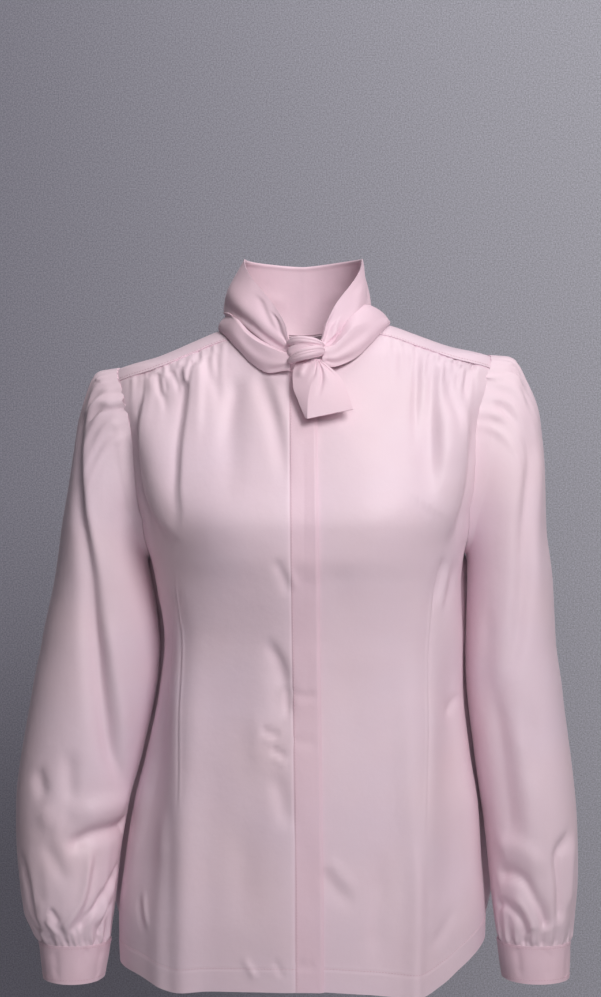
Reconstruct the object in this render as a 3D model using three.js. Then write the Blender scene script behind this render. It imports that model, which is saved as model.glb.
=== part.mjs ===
// A women's long-sleeved tie neck blouse, hollow and in the pose in which it is worn.
// Millimetres, +Z up, the front faces -Y, the wearer's left is +X.
// The origin is the middle of the neck, level with the points where the shoulders meet it.
import * as THREE from "three";

// Driving sizes of the cut
const CLOTH = 1.2;
const CUFF_CLOTH = 1.8;
const TIE_CLOTH = 1.6;
const SEAM_GAP = 0.5;
const SIDE_GAP = 1.1;
const ARM_GAP = 1.3;
const HEM_Z = -640;
const ARMPIT_Z = -222;
const SHOULDER_X = 190;
const FRONT_SEAM_DROP = 14;
const FRONT_SEAM_GAP = 1.0;
const BACK_YOKE_Z = -100;
const LEAN_SLOPE = 0.035;
const NECK = { half: 66, front: 66, back: 57 };
const ARMHOLE = { topZ: -30, frontDepth: 52, backDepth: 58 };
const PLACKET = { half: 14, lift: 4.1, riseWidth: 34, underlap: 2.5 };
const BUTTON = { radius: 5.5, thick: 1.3, firstZ: -78, pitch: 84, count: 7 };
const CUFF = { topZ: -613, bottomZ: -650, wrapDeg: 386, startDeg: 205 };

// Horizontal sections of the body, from the neck to the hem
const torso = [
  { z: 16, half: 52, shift: 0, front: 12, back: 30, power: 2.0 },
  { z: 12, half: 62, shift: 0, front: 24, back: 42, power: 2.0 },
  { z: 5, half: 89, shift: 0, front: 38, back: 54, power: 2.0 },
  { z: -4, half: 112, shift: 0, front: 50, back: 65, power: 2.0 },
  { z: -18, half: 148, shift: 0, front: 59, back: 76, power: 2.0 },
  { z: -30, half: 190, shift: 0, front: 65, back: 84, power: 2.05 },
  { z: -45, half: 200, shift: 0, front: 73, back: 91, power: 2.1 },
  { z: -70, half: 203, shift: 0, front: 84, back: 100, power: 2.15 },
  { z: -105, half: 200, shift: 0, front: 97, back: 108, power: 2.2 },
  { z: -150, half: 190, shift: 1, front: 113, back: 112, power: 2.2 },
  { z: -196, half: 172, shift: 2, front: 126, back: 109, power: 2.2 },
  { z: -222, half: 160, shift: 3, front: 125, back: 104, power: 2.2 },
  { z: -251, half: 155, shift: 4.5, front: 119, back: 97, power: 2.25 },
  { z: -311, half: 151.5, shift: 9.7, front: 108, back: 89, power: 2.3 },
  { z: -357, half: 154, shift: 7.4, front: 106, back: 91, power: 2.3 },
  { z: -428, half: 165, shift: 4, front: 108, back: 103, power: 2.3 },
  { z: -474, half: 174.5, shift: 2, front: 110, back: 111, power: 2.3 },
  { z: -534, half: 181, shift: -0.8, front: 112, back: 118, power: 2.3 },
  { z: -590, half: 186, shift: -2, front: 114, back: 121, power: 2.3 },
  { z: -660, half: 183, shift: -2, front: 114, back: 120, power: 2.3 },
];

// The hem's height across the body: the left side is hitched up
const hemStations = [
  { x: -190, z: -633 },
  { x: -168, z: -635 },
  { x: -148, z: -640 },
  { x: -124, z: -645 },
  { x: -90, z: -642 },
  { x: 0, z: -640 },
  { x: 60, z: -644 },
  { x: 108, z: -649 },
  { x: 135, z: -640 },
  { x: 152, z: -629 },
  { x: 168, z: -619 },
  { x: 190, z: -604 },
];

// Rings of each sleeve: centre across and in depth, half width and half depth
const sleeveRings = {
  right: [
    { z: -20, across: 196, depth: 0, half: 29, deep: 40 },
    { z: -60, across: 197, depth: 1, half: 31, deep: 46 },
    { z: -97, across: 199, depth: 2, half: 33.6, deep: 52 },
    { z: -148, across: 203, depth: 3, half: 37, deep: 58 },
    { z: -199, across: 207, depth: 4, half: 41, deep: 60 },
    { z: -251, across: 205, depth: 4, half: 50, deep: 59 },
    { z: -311, across: 207, depth: 2, half: 60, deep: 57 },
    { z: -357, across: 213, depth: 0, half: 63, deep: 56 },
    { z: -428, across: 226.3, depth: -4, half: 61.3, deep: 55 },
    { z: -474, across: 234.7, depth: -7, half: 57.3, deep: 54 },
    { z: -534, across: 238.5, depth: -10, half: 51.5, deep: 50 },
    { z: -582, across: 237.8, depth: -13, half: 45.8, deep: 45 },
    { z: -602, across: 234.7, depth: -14, half: 39.3, deep: 38 },
    { z: -613, across: 232.7, depth: -15, half: 35.5, deep: 33 },
    { z: -660, across: 234, depth: -16, half: 28.5, deep: 29 },
  ],
  left: [
    { z: -20, across: 198, depth: 0, half: 29, deep: 40 },
    { z: -61, across: 201, depth: 1, half: 32.6, deep: 46 },
    { z: -97, across: 205, depth: 2, half: 35.7, deep: 52 },
    { z: -148, across: 208, depth: 3, half: 37.5, deep: 58 },
    { z: -199, across: 208, depth: 4, half: 39, deep: 60 },
    { z: -251, across: 210.5, depth: 4, half: 43, deep: 59 },
    { z: -311, across: 210.8, depth: 2, half: 45.7, deep: 57 },
    { z: -362, across: 214.5, depth: 0, half: 48.5, deep: 56 },
    { z: -439, across: 223.6, depth: -4, half: 48.7, deep: 55 },
    { z: -497, across: 230, depth: -7, half: 47, deep: 53 },
    { z: -555, across: 232.8, depth: -11, half: 44.2, deep: 48 },
    { z: -590, across: 233, depth: -13, half: 40, deep: 42 },
    { z: -603, across: 233, depth: -14, half: 38, deep: 37 },
    { z: -613, across: 233.2, depth: -15, half: 36, deep: 33 },
    { z: -660, across: 235.5, depth: -16, half: 32, deep: 30 },
  ],
};

// Creases and ridges seen from the front: three points of a bend, width, depth (minus sinks in) and the
// share of its length over which each end fades
const frontFolds = [
  { name: "crease under the right yoke", x1: -112, z1: -37, x2: -116, z2: -105, x3: -121, z3: -196,
    width: 8, depth: -4.5, fadeIn: 0.05, fadeOut: 0.35 },
  { name: "shallow crease beside it", x1: -66, z1: -30, x2: -68, z2: -110, x3: -72, z3: -190,
    width: 12, depth: -3, fadeIn: 0.2, fadeOut: 0.5 },
  { name: "crease from the tie", x1: -44, z1: -52, x2: -28, z2: -85, x3: -12, z3: -140,
    width: 11, depth: -4, fadeIn: 0.1, fadeOut: 0.5 },
  { name: "ridge above the right dart", x1: -150, z1: -70, x2: -146, z2: -130, x3: -124, z3: -178,
    width: 17, depth: 7, fadeIn: 0.3, fadeOut: 0.25 },
  { name: "hollow by the right armhole", x1: -172, z1: -90, x2: -166, z2: -160, x3: -138, z3: -226,
    width: 14, depth: -9, fadeIn: 0.35, fadeOut: 0.3 },
  { name: "corner of the right side panel", x1: -112, z1: -262, x2: -117, z2: -430, x3: -122, z3: -625,
    width: 20, depth: 8, fadeIn: 0.3, fadeOut: 0 },
  { name: "hollow of the right side panel", x1: -150, z1: -300, x2: -150, z2: -430, x3: -158, z3: -600,
    width: 20, depth: -6, fadeIn: 0.3, fadeOut: 0.3 },
  { name: "crease under the left yoke", x1: 110, z1: -22, x2: 104, z2: -80, x3: 96, z3: -170,
    width: 11, depth: -3.5, fadeIn: 0.05, fadeOut: 0.5 },
  { name: "ridge above the left dart", x1: 152, z1: -70, x2: 150, z2: -130, x3: 132, z3: -180,
    width: 17, depth: 7, fadeIn: 0.3, fadeOut: 0.25 },
  { name: "hollow by the left armhole", x1: 174, z1: -95, x2: 170, z2: -160, x3: 146, z3: -226,
    width: 14, depth: -8, fadeIn: 0.35, fadeOut: 0.3 },
  { name: "corner of the left side panel", x1: 118, z1: -300, x2: 112, z2: -440, x3: 106, z3: -625,
    width: 20, depth: 7, fadeIn: 0.3, fadeOut: 0 },
  { name: "hollow of the left side panel", x1: 146, z1: -290, x2: 150, z2: -430, x3: 152, z3: -600,
    width: 20, depth: -5, fadeIn: 0.3, fadeOut: 0.3 },
  { name: "slack beside the placket", x1: -34, z1: -300, x2: -20, z2: -350, x3: -16, z3: -400,
    width: 12, depth: -4, fadeIn: 0.4, fadeOut: 0.4 },
];

// The bust fullness that the darts and gathers give, one cup on each side
const CUP = { across: 80, z: -186, wide: 52, tall: 62, depth: 10 };

// Creases of the sleeves: angle round the arm (0 outside, 90 front, 180 inside, 270 back) and height
const sleeveFolds = {
  right: [
    { name: "long crease from the shoulder", a1: 52, z1: -75, a2: 58, z2: -280, a3: 98, z3: -440,
      width: 13, depth: -6, fadeIn: 0.2, fadeOut: 0.25 },
    { name: "break above the cuff", a1: 64, z1: -508, a2: 96, z2: -494, a3: 140, z3: -506,
      width: 13, depth: -7, fadeIn: 0.35, fadeOut: 0.2 },
    { name: "roll over the break", a1: 60, z1: -476, a2: 96, z2: -462, a3: 140, z3: -468,
      width: 18, depth: 4, fadeIn: 0.35, fadeOut: 0.3 },
    { name: "crease behind the arm", a1: 300, z1: -90, a2: 290, z2: -260, a3: 260, z3: -430,
      width: 14, depth: -6, fadeIn: 0.2, fadeOut: 0.3 },
    { name: "back break above the cuff", a1: 230, z1: -500, a2: 270, z2: -486, a3: 310, z3: -500,
      width: 14, depth: -6, fadeIn: 0.3, fadeOut: 0.3 },
  ],
  left: [
    { name: "long crease from the shoulder", a1: 48, z1: -80, a2: 55, z2: -250, a3: 82, z3: -400,
      width: 14, depth: -4.5, fadeIn: 0.2, fadeOut: 0.35 },
    { name: "break above the cuff", a1: 150, z1: -534, a2: 92, z2: -524, a3: 74, z3: -598,
      width: 12, depth: -6, fadeIn: 0.25, fadeOut: 0.1 },
    { name: "outer break", a1: 20, z1: -486, a2: 44, z2: -520, a3: 48, z3: -596,
      width: 11, depth: -5, fadeIn: 0.25, fadeOut: 0.15 },
    { name: "crease behind the arm", a1: 305, z1: -90, a2: 292, z2: -250, a3: 262, z3: -420,
      width: 14, depth: -6, fadeIn: 0.2, fadeOut: 0.3 },
    { name: "back break above the cuff", a1: 225, z1: -512, a2: 268, z2: -498, a3: 305, z3: -512,
      width: 14, depth: -6, fadeIn: 0.3, fadeOut: 0.3 },
  ],
};

// The standing collar, by angle round the neck (minus is the wearer's right): how far its foot has left
// the neckline, its top's radius and height, and how far it bellies out between them
const standStations = [
  { angle: -180, foot: 0, lift: 0, topRadius: 57, topZ: 76, belly: 3 },
  { angle: -140, foot: 0, lift: 0, topRadius: 59, topZ: 79, belly: 6 },
  { angle: -96, foot: 0, lift: 0, topRadius: 61, topZ: 80, belly: 18 },
  { angle: -72, foot: 0, lift: 0, topRadius: 61, topZ: 66, belly: 16 },
  { angle: -50, foot: 2, lift: 0, topRadius: 61, topZ: 48, belly: 13 },
  { angle: -30, foot: 6, lift: 0, topRadius: 65, topZ: 29, belly: 8 },
  { angle: -15, foot: 11, lift: 2, topRadius: 74, topZ: 6, belly: 2 },
  { angle: -10.5, foot: 13, lift: 3, topRadius: 79, topZ: -12, belly: 0 },
  { angle: 12.5, foot: 13, lift: 3, topRadius: 79, topZ: -12, belly: 0 },
  { angle: 17, foot: 11, lift: 2, topRadius: 74, topZ: 4, belly: 1 },
  { angle: 30, foot: 6, lift: 0, topRadius: 65, topZ: 26, belly: 3 },
  { angle: 50, foot: 2, lift: 0, topRadius: 61, topZ: 45, belly: 4 },
  { angle: 72, foot: 0, lift: 0, topRadius: 60, topZ: 62, belly: 4 },
  { angle: 96, foot: 0, lift: 0, topRadius: 60, topZ: 76, belly: 4 },
  { angle: 140, foot: 0, lift: 0, topRadius: 59, topZ: 78, belly: 3 },
  { angle: 180, foot: 0, lift: 0, topRadius: 57, topZ: 76, belly: 3 },
];

// The tie sewn round the foot of the collar: height of its lower edge above the shoulder cloth, its width,
// and how far its upper edge leans out
const TIE_PLAN = { half: 87, front: 85, back: 70, startDeg: 11.5, endDeg: -8.9 };
const tieStations = [
  { angle: -180, lift: 2.4, height: 18, lean: -6 },
  { angle: -120, lift: 1.8, height: 18, lean: -6 },
  { angle: -90, lift: 1.6, height: 20, lean: -2 },
  { angle: -62, lift: 3, height: 26, lean: -3 },
  { angle: -40, lift: 6, height: 27, lean: -4 },
  { angle: -27, lift: 12, height: 22, lean: -2 },
  { angle: -9, lift: 32, height: 12, lean: 0 },
  { angle: 12, lift: 32, height: 12, lean: 0 },
  { angle: 27, lift: 17, height: 25, lean: -3 },
  { angle: 40, lift: 8, height: 31, lean: -7 },
  { angle: 62, lift: 2.6, height: 28, lean: -12 },
  { angle: 90, lift: 1.6, height: 22, lean: -13 },
  { angle: 120, lift: 1.8, height: 18, lean: -8 },
  { angle: 180, lift: 2.4, height: 18, lean: -6 },
];

const KNOT = { x: 2, y: -87, z: -26, half: 15, deep: 10, tall: 11.5, girthPower: 0.45, twist: 2.5 };

// Tie ends: points of the upper and the lower edge, from the turned-back left side over the ridge to the
// right side
const tails = {
  front: {
    top: [{ x: -8, y: -88 }, { x: 5, y: -92.5 }, { x: 16, y: -88.5 }],
    bottom: [{ x: -5, y: -101, z: -88 }, { x: -0.5, y: -110, z: -91.5 }, { x: 45, y: -107, z: -85 }],
    topZ: -38.6,
    bulge: 5,
  },
  back: {
    top: [{ x: -6, y: -83.2 }, { x: 4, y: -85 }, { x: 13, y: -83.8 }],
    bottom: [{ x: 4, y: -98, z: -76 }, { x: 12, y: -100, z: -78 }, { x: 34, y: -99, z: -72 }],
    topZ: -38.2,
    bulge: 2,
  },
};

const { degToRad, lerp, clamp, smoothstep } = THREE.MathUtils;
const vec = (x, y, z) => new THREE.Vector3(x, y, z);
const signedPower = (value, power) => Math.sign(value) * Math.abs(value) ** power;

// A smooth curve through one column of a table, with no overshoot between its rows
function track(rows, at, key) {
  const sorted = [...rows].sort((a, b) => a[at] - b[at]);
  const xs = sorted.map((row) => row[at]);
  const ys = sorted.map((row) => row[key]);
  const slopes = xs.slice(1).map((x, i) => (ys[i + 1] - ys[i]) / (x - xs[i]));
  const tangents = xs.map((_, i) => {
    if (i === 0) return slopes[0];
    if (i === xs.length - 1) return slopes[i - 1];
    const before = slopes[i - 1];
    const after = slopes[i];
    return before * after <= 0 ? 0 : (2 * before * after) / (before + after);
  });
  return (x) => {
    const at0 = clamp(x, xs[0], xs[xs.length - 1]);
    let i = 0;
    while (i < xs.length - 2 && at0 > xs[i + 1]) i += 1;
    const width = xs[i + 1] - xs[i];
    const t = (at0 - xs[i]) / width;
    const blend = t * t * (3 - 2 * t);
    return ys[i] * (1 - blend) + ys[i + 1] * blend
      + width * (tangents[i] * t * (1 - t) ** 2 - tangents[i + 1] * t * t * (1 - t));
  };
}

function tracks(rows, at, keys) {
  const made = keys.map((key) => [key, track(rows, at, key)]);
  return (x) => Object.fromEntries(made.map(([key, curve]) => [key, curve(x)]));
}

const section = tracks(torso, "z", ["half", "shift", "front", "back", "power"]);
const hemAt = track(hemStations, "x", "z");
const standAt = tracks(standStations, "angle", ["foot", "lift", "topRadius", "topZ", "belly"]);
const tieAt = tracks(tieStations, "angle", ["lift", "height", "lean"]);
const ringAt = {
  right: tracks(sleeveRings.right, "z", ["across", "depth", "half", "deep"]),
  left: tracks(sleeveRings.left, "z", ["across", "depth", "half", "deep"]),
};

// The wearer's right shoulder hangs a little lower than the left one
function lean(point) {
  point.z += LEAN_SLOPE * point.x * smoothstep(point.z, -300, -90);
  return point;
}

// How far a point on the body's plan at height z lies outside the section there
function outside(x, y, z) {
  const s = section(z);
  const depth = y < 0 ? s.front : s.back;
  return Math.abs((x - s.shift) / s.half) ** s.power + Math.abs(y / depth) ** s.power - 1;
}

// Height of the shoulders over a point of the plan
function topOf(x, y) {
  const step = 3;
  let high = 16;
  let low = high - step;
  while (outside(x, y, low) > 0 && low > -200) {
    high = low;
    low -= step;
  }
  for (let i = 0; i < 30; i += 1) {
    const middle = (high + low) / 2;
    if (outside(x, y, middle) > 0) high = middle;
    else low = middle;
  }
  return low;
}

// Depth of the body's surface at a given x and z
function depthAt(x, z, isFront) {
  const s = section(z);
  const share = clamp(Math.abs((x - s.shift) / s.half), 0, 1);
  const reach = Math.max(0, 1 - share ** s.power) ** (1 / s.power);
  return isFront ? -s.front * reach : s.back * reach;
}

// Level direction that faces out of the body
function facing(x, y, z) {
  const s = section(z);
  const depth = y < 0 ? s.front : s.back;
  const nx = signedPower((x - s.shift) / s.half, s.power - 1) / s.half;
  const ny = signedPower(y / depth, s.power - 1) / depth;
  return vec(nx, ny, 0).normalize();
}

// A point of the body by its angle round a section (0 front, 90 side, 180 back) and its height
function bodyPoint(side, angle, z) {
  const s = section(z);
  const a = degToRad(angle);
  const x = s.half * Math.abs(Math.sin(a)) ** (2 / s.power);
  const y = Math.abs(Math.cos(a)) ** (2 / s.power);
  return vec(s.shift + side * x, angle < 90 ? -s.front * y : s.back * y, z);
}

function bodyAngle(side, point) {
  const s = section(point.z);
  const depth = point.y < 0 ? s.front : s.back;
  const across = Math.abs((point.x - s.shift) / s.half) ** (s.power / 2);
  const along = Math.abs(point.y / depth) ** (s.power / 2);
  const angle = (Math.atan2(across, along) * 180) / Math.PI;
  return point.y < 0 ? angle : 180 - angle;
}

// Direction that faces out of the body at a point of its surface
function bodyNormal(side, point) {
  const angle = bodyAngle(side, point);
  const around = bodyPoint(side, angle + 0.5, point.z).sub(bodyPoint(side, angle - 0.5, point.z));
  const down = bodyPoint(side, angle, point.z - 1).sub(bodyPoint(side, angle, point.z + 1));
  const normal = around.cross(down).normalize();
  return normal.dot(vec(point.x, point.y, 0)) < 0 ? normal.negate() : normal;
}

// Height of a fold at a point, where the fold is a bend through three points
function foldHeight(fold, px, pz, keys) {
  const [x1, z1, x2, z2, x3, z3] = keys.map((key) => fold[key]);
  const pieces = 10;
  let nearest = Infinity;
  let along = 0;
  for (let i = 0; i < pieces; i += 1) {
    const [ax, az] = bend(x1, z1, x2, z2, x3, z3, i / pieces);
    const [bx, bz] = bend(x1, z1, x2, z2, x3, z3, (i + 1) / pieces);
    const length2 = (bx - ax) ** 2 + (bz - az) ** 2;
    const t = clamp(((px - ax) * (bx - ax) + (pz - az) * (bz - az)) / length2, 0, 1);
    const distance = Math.hypot(px - ax - t * (bx - ax), pz - az - t * (bz - az));
    if (distance < nearest) {
      nearest = distance;
      along = (i + t) / pieces;
    }
  }
  const start = fold.fadeIn > 0 ? smoothstep(along, 0, fold.fadeIn) : 1;
  const end = fold.fadeOut > 0 ? 1 - smoothstep(along, 1 - fold.fadeOut, 1) : 1;
  return fold.depth * start * end * Math.exp(-((nearest / fold.width) ** 2));
}

function bend(x1, z1, x2, z2, x3, z3, t) {
  const a = (1 - t) ** 2;
  const b = 2 * t * (1 - t);
  const c = t * t;
  return [a * x1 + b * x2 + c * x3, a * z1 + b * z2 + c * z3];
}

const FRONT_KEYS = ["x1", "z1", "x2", "z2", "x3", "z3"];
const SLEEVE_KEYS = ["a1", "z1", "a2", "z2", "a3", "z3"];

// How uneven the gathers are, and the share of their height that is left at the seam itself
const GATHER_DRIFT = { slow: 0.35, quick: 0.2, atSeam: 0.25 };

// Small gathers pressed in along a seam: uneven waves that die away from it
function gathers(place, pitch, distance, reach, height) {
  const slow = GATHER_DRIFT.slow * Math.sin(place / (2.7 * pitch));
  const quick = GATHER_DRIFT.quick * Math.sin(place / (1.3 * pitch));
  const uneven = place / pitch + slow + quick;
  const rise = lerp(GATHER_DRIFT.atSeam, 1, smoothstep(distance, 0, 5));
  return height * rise * Math.exp(-distance / reach) * Math.cos(2 * Math.PI * uneven);
}

// The middle of the placket drifts to the wearer's left as it goes down
const centreLine = (z) => lerp(-1, 5, smoothstep(-z, 60, -HEM_Z));
const ridgeTop = (x) => topOf(Math.abs(x), 0);
const seamTop = (x) => ridgeTop(x) - FRONT_SEAM_DROP;

function neckPlan(angle) {
  const a = degToRad(angle);
  const depth = Math.cos(a) > 0 ? NECK.front : NECK.back;
  return [NECK.half * Math.sin(a), -depth * Math.cos(a)];
}

function neckPoint(angle) {
  const [x, y] = neckPlan(angle);
  return vec(x, y, topOf(x, y));
}

// Angle on the neckline at which the front yoke seam starts
const SEAM_NECK_ANGLE = (() => {
  let angle = 20;
  while (neckPoint(angle).z < seamTop(Math.max(neckPlan(angle)[0], 30))) angle += 0.25;
  return angle;
})();
const SEAM_NECK_X = neckPlan(SEAM_NECK_ANGLE)[0];

// Upper edge of a front panel over a given x: the neckline, then the yoke seam
function frontTop(x) {
  const across = Math.abs(x);
  if (across < SEAM_NECK_X) {
    const angle = (Math.asin(across / NECK.half) * 180) / Math.PI;
    return neckPoint(angle).z;
  }
  return seamTop(across);
}

// The armhole is an oval seen from the side; angle 0 is the shoulder point, 90 the front, 180 the armpit
function armholePoint(side, angle) {
  const a = degToRad(angle);
  const middle = (ARMHOLE.topZ + ARMPIT_Z) / 2;
  const z = middle + ((ARMHOLE.topZ - ARMPIT_Z) / 2) * Math.cos(a);
  const isFront = Math.sin(a) >= 0;
  const y = -(isFront ? ARMHOLE.frontDepth : ARMHOLE.backDepth) * Math.sin(a);
  const s = section(z);
  const depth = isFront ? s.front : s.back;
  const reach = (1 - Math.abs(y / depth) ** s.power) ** (1 / s.power);
  return vec(s.shift + side * s.half * reach, y, z);
}

// Edge of a panel at height z: the armhole above the armpit, the side seam below it
function panelEdge(side, z, isFront) {
  if (z > ARMPIT_Z) {
    const middle = (ARMHOLE.topZ + ARMPIT_Z) / 2;
    const share = clamp((z - middle) / ((ARMHOLE.topZ - ARMPIT_Z) / 2), -1, 1);
    const angle = (Math.acos(share) * 180) / Math.PI;
    return armholePoint(side, isFront ? angle : 360 - angle);
  }
  const s = section(z);
  const y = (isFront ? -1 : 1) * SIDE_GAP * 0.5;
  const reach = (1 - Math.abs(y / (isFront ? s.front : s.back)) ** s.power) ** (1 / s.power);
  return vec(s.shift + side * s.half * reach, y, z);
}

// Closed solid of a cloth wall. rows holds the outer points from one edge to the other, and rows may differ
// in count. heart gives a point inside the form for each outer point. A ring joins each row's ends.
function wall(rows, thickness, heart, ring = false) {
  const starts = [];
  let count = 0;
  for (const row of rows) {
    starts.push(count);
    count += row.length;
  }
  const outer = rows.flat();
  const faces = [];
  for (let r = 0; r < rows.length - 1; r += 1) {
    const [n, m] = [rows[r].length, rows[r + 1].length];
    const [lastA, lastB] = ring ? [n, m] : [n - 1, m - 1];
    let [i, j] = [0, 0];
    while (i < lastA || j < lastB) {
      const a = starts[r] + (i % n);
      const b = starts[r + 1] + (j % m);
      const stepA = j >= lastB || (i < lastA && (i + 1) / lastA <= (j + 1) / lastB);
      const next = stepA ? starts[r] + ((i + 1) % n) : starts[r + 1] + ((j + 1) % m);
      faces.push([a, b, next]);
      if (stepA) i += 1;
      else j += 1;
    }
  }
  const normals = outer.map(() => vec(0, 0, 0));
  for (const [a, b, c] of faces) {
    const normal = outer[b].clone().sub(outer[a]).cross(outer[c].clone().sub(outer[a]));
    [a, b, c].forEach((k) => normals[k].add(normal));
  }
  const outward = outer.reduce((sum, p, k) => sum + normals[k].dot(p.clone().sub(heart(p))), 0);
  const sign = outward > 0 ? 1 : -1;
  const inner = outer.map((p, k) => p.clone().addScaledVector(normals[k].normalize(), -sign * thickness));
  const loops = edgeLoops(faces);
  const solid = [];
  for (const [a, b, c] of faces) {
    solid.push(sign > 0 ? [a, b, c] : [a, c, b]);
    solid.push(sign > 0 ? [a + count, c + count, b + count] : [a + count, b + count, c + count]);
  }
  for (const [a, b] of loops) {
    const [from, to] = sign > 0 ? [a, b] : [b, a];
    solid.push([from, to + count, to], [from, from + count, to + count]);
  }
  return geometryOf([...outer, ...inner], solid);
}

// Edges that only one face uses, in the direction in which that face runs
function edgeLoops(faces) {
  const used = new Set(faces.flatMap(([a, b, c]) => [`${a},${b}`, `${b},${c}`, `${c},${a}`]));
  const edges = faces.flatMap(([a, b, c]) => [[a, b], [b, c], [c, a]]);
  return edges.filter(([a, b]) => !used.has(`${b},${a}`));
}

function geometryOf(points, faces) {
  const geometry = new THREE.BufferGeometry();
  geometry.setAttribute("position", new THREE.Float32BufferAttribute(points.flatMap((p) => p.toArray()), 3));
  geometry.setIndex(faces.flat());
  geometry.computeVertexNormals();
  return geometry;
}

const steps = (count, from = 0, to = 1) =>
  Array.from({ length: count + 1 }, (_, i) => lerp(from, to, i / count));

// Cut of the front panels
const FRONT_COLUMNS = 15;
const GATHER_COLUMNS = 46;
const frontRowHeights = [-44, -49, -54, -62, -76, -96, -118, -142, -164, -184, -203, -222, -243, -268,
  -300, -334, -372, -412, -456, -502, -548, -590, HEM_Z];
const GATHER_ROWS = 5;
const YOKE_GATHERS = { pitch: 11, reach: 32, height: 2.2, from: 70, to: 180, fade: 13 };

// Distance from a panel's side edge within which folds stay flat and beyond which they are free, and the
// same below the yoke seam
const EDGE_HOLD = { still: 3, free: 26, seam: 14 };

// How far the fronts stand out from the plain section: the cups, the folds and the gathers of the yoke seam
function frontRelief(side, x, z) {
  const across = Math.abs(x);
  const cupX = (across - CUP.across) / CUP.wide;
  const cupZ = (z - CUP.z) / CUP.tall;
  const cup = CUP.depth * Math.exp(-cupX * cupX - cupZ * cupZ);
  const folds = frontFolds.reduce((sum, fold) => sum + foldHeight(fold, x, z, FRONT_KEYS), 0);
  const below = Math.max(0, frontTop(x) - z);
  const fromEdge = Math.abs(panelEdge(Math.sign(x) || 1, z, true).x - x);
  const held = smoothstep(fromEdge, EDGE_HOLD.still, EDGE_HOLD.free) * smoothstep(below, 0, EDGE_HOLD.seam);
  const { from, to, fade, pitch, reach, height } = YOKE_GATHERS;
  const seamShare = smoothstep(across, from, from + fade) * (1 - smoothstep(across, to - fade, to));
  return (cup + folds) * held + seamShare * gathers(across + 3 * side, pitch, below, reach, height);
}

// Side edge of a front or back row, and the share of the way to it that a column has
function rowEdge(side, rowZ, isFront) {
  const drop = smoothstep(-rowZ, 470, -HEM_Z);
  const z = rowZ + drop * (hemAt(side * section(rowZ).half) - HEM_Z);
  const edge = panelEdge(side, z, isFront);
  const s = section(z);
  const angle = Math.acos(Math.abs(edge.y / (isFront ? s.front : s.back)) ** (s.power / 2));
  const spread = (along) => (Math.sin(along * angle) / Math.sin(angle)) ** (2 / s.power);
  return { edge, z, drop, spread, middle: s.shift };
}

function frontPoint(side, along, rowZ, innerEdge, lift) {
  const { edge, z: edgeZ, drop, spread } = rowEdge(side, rowZ, true);
  const rise = 1 - smoothstep(-rowZ, -frontRowHeights[0], 150);
  const x = lerp(innerEdge(edgeZ), edge.x, spread(along));
  const toSeam = rise * (frontTop(x) - frontRowHeights[0] - FRONT_SEAM_GAP);
  const z = along === 1 ? edgeZ + toSeam : rowZ + toSeam + drop * (hemAt(x) - HEM_Z);
  const y = along === 1 ? edge.y : depthAt(x, z, true);
  const out = facing(x, y, z).multiplyScalar(frontRelief(side, x, z) + lift(x, z));
  return lean(vec(x, y, z).add(out));
}

function makeFront(side) {
  const overlap = side < 0 ? -PLACKET.half - ARM_GAP : -PLACKET.half + PLACKET.underlap;
  const innerEdge = (z) => centreLine(z) + overlap;
  const lift = (x, z) => {
    const away = Math.abs(x - innerEdge(z)) / PLACKET.riseWidth;
    return side < 0 ? PLACKET.lift * Math.exp(-away * away) : 0;
  };
  const rows = frontRowHeights.map((edgeZ, i) => {
    const columns = i < GATHER_ROWS ? GATHER_COLUMNS : FRONT_COLUMNS;
    return steps(columns).map((along) => frontPoint(side, along, edgeZ, innerEdge, lift));
  });
  return wall(rows, CLOTH, (p) => vec(0, 0, p.z));
}

// The front surface without side panels, for what lies on it
function frontSurface(x, z, height) {
  const y = depthAt(x, z, true);
  const out = facing(x, y, z).multiplyScalar(frontRelief(1, x, z) + height);
  return lean(vec(x, y, z).add(out));
}

function makePlacket() {
  const shares = steps(24);
  const across = [-1, -0.33, 0.33, 1];
  const rows = shares.map((down) => across.map((share) => {
    const x = centreLine(lerp(frontTop(0), HEM_Z, down)) + share * PLACKET.half;
    return frontSurface(x, lerp(frontTop(x) - FRONT_SEAM_GAP, hemAt(x), down), PLACKET.lift);
  }));
  return wall(rows, CLOTH, (p) => vec(0, 0, p.z));
}

function makeDisc(centre, normal, radius, thick, sides) {
  const disc = new THREE.CylinderGeometry(radius, radius, thick, sides);
  disc.applyQuaternion(new THREE.Quaternion().setFromUnitVectors(vec(0, 1, 0), normal));
  return disc.translate(centre.x, centre.y, centre.z);
}

function makeHiddenButton(index) {
  const z = BUTTON.firstZ - index * BUTTON.pitch;
  const x = centreLine(z) + 1;
  const step = 4;
  const here = frontSurface(x, z, 0);
  const acrossWay = frontSurface(x + step, z, 0).sub(frontSurface(x - step, z, 0));
  const upWay = frontSurface(x, z + step, 0).sub(frontSurface(x, z - step, 0));
  const normal = acrossWay.cross(upWay).normalize();
  const space = PLACKET.lift - CLOTH;
  return makeDisc(here.addScaledVector(normal, space / 2), normal, BUTTON.radius, BUTTON.thick, 12);
}

// Back panel
const backRowHeights = [BACK_YOKE_Z, -118, -142, -168, -196, -222, -250, -282, -318, -356, -400, -446,
  -494, -544, -590, HEM_Z];
const BACK_COLUMNS = 18;
const BACK_PLEAT = { x: 34, width: 10, depth: 4, length: 190 };
const BACK_DART = { x: 74, topZ: -200, bottomZ: -430, width: 13, depth: -4 };

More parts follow.
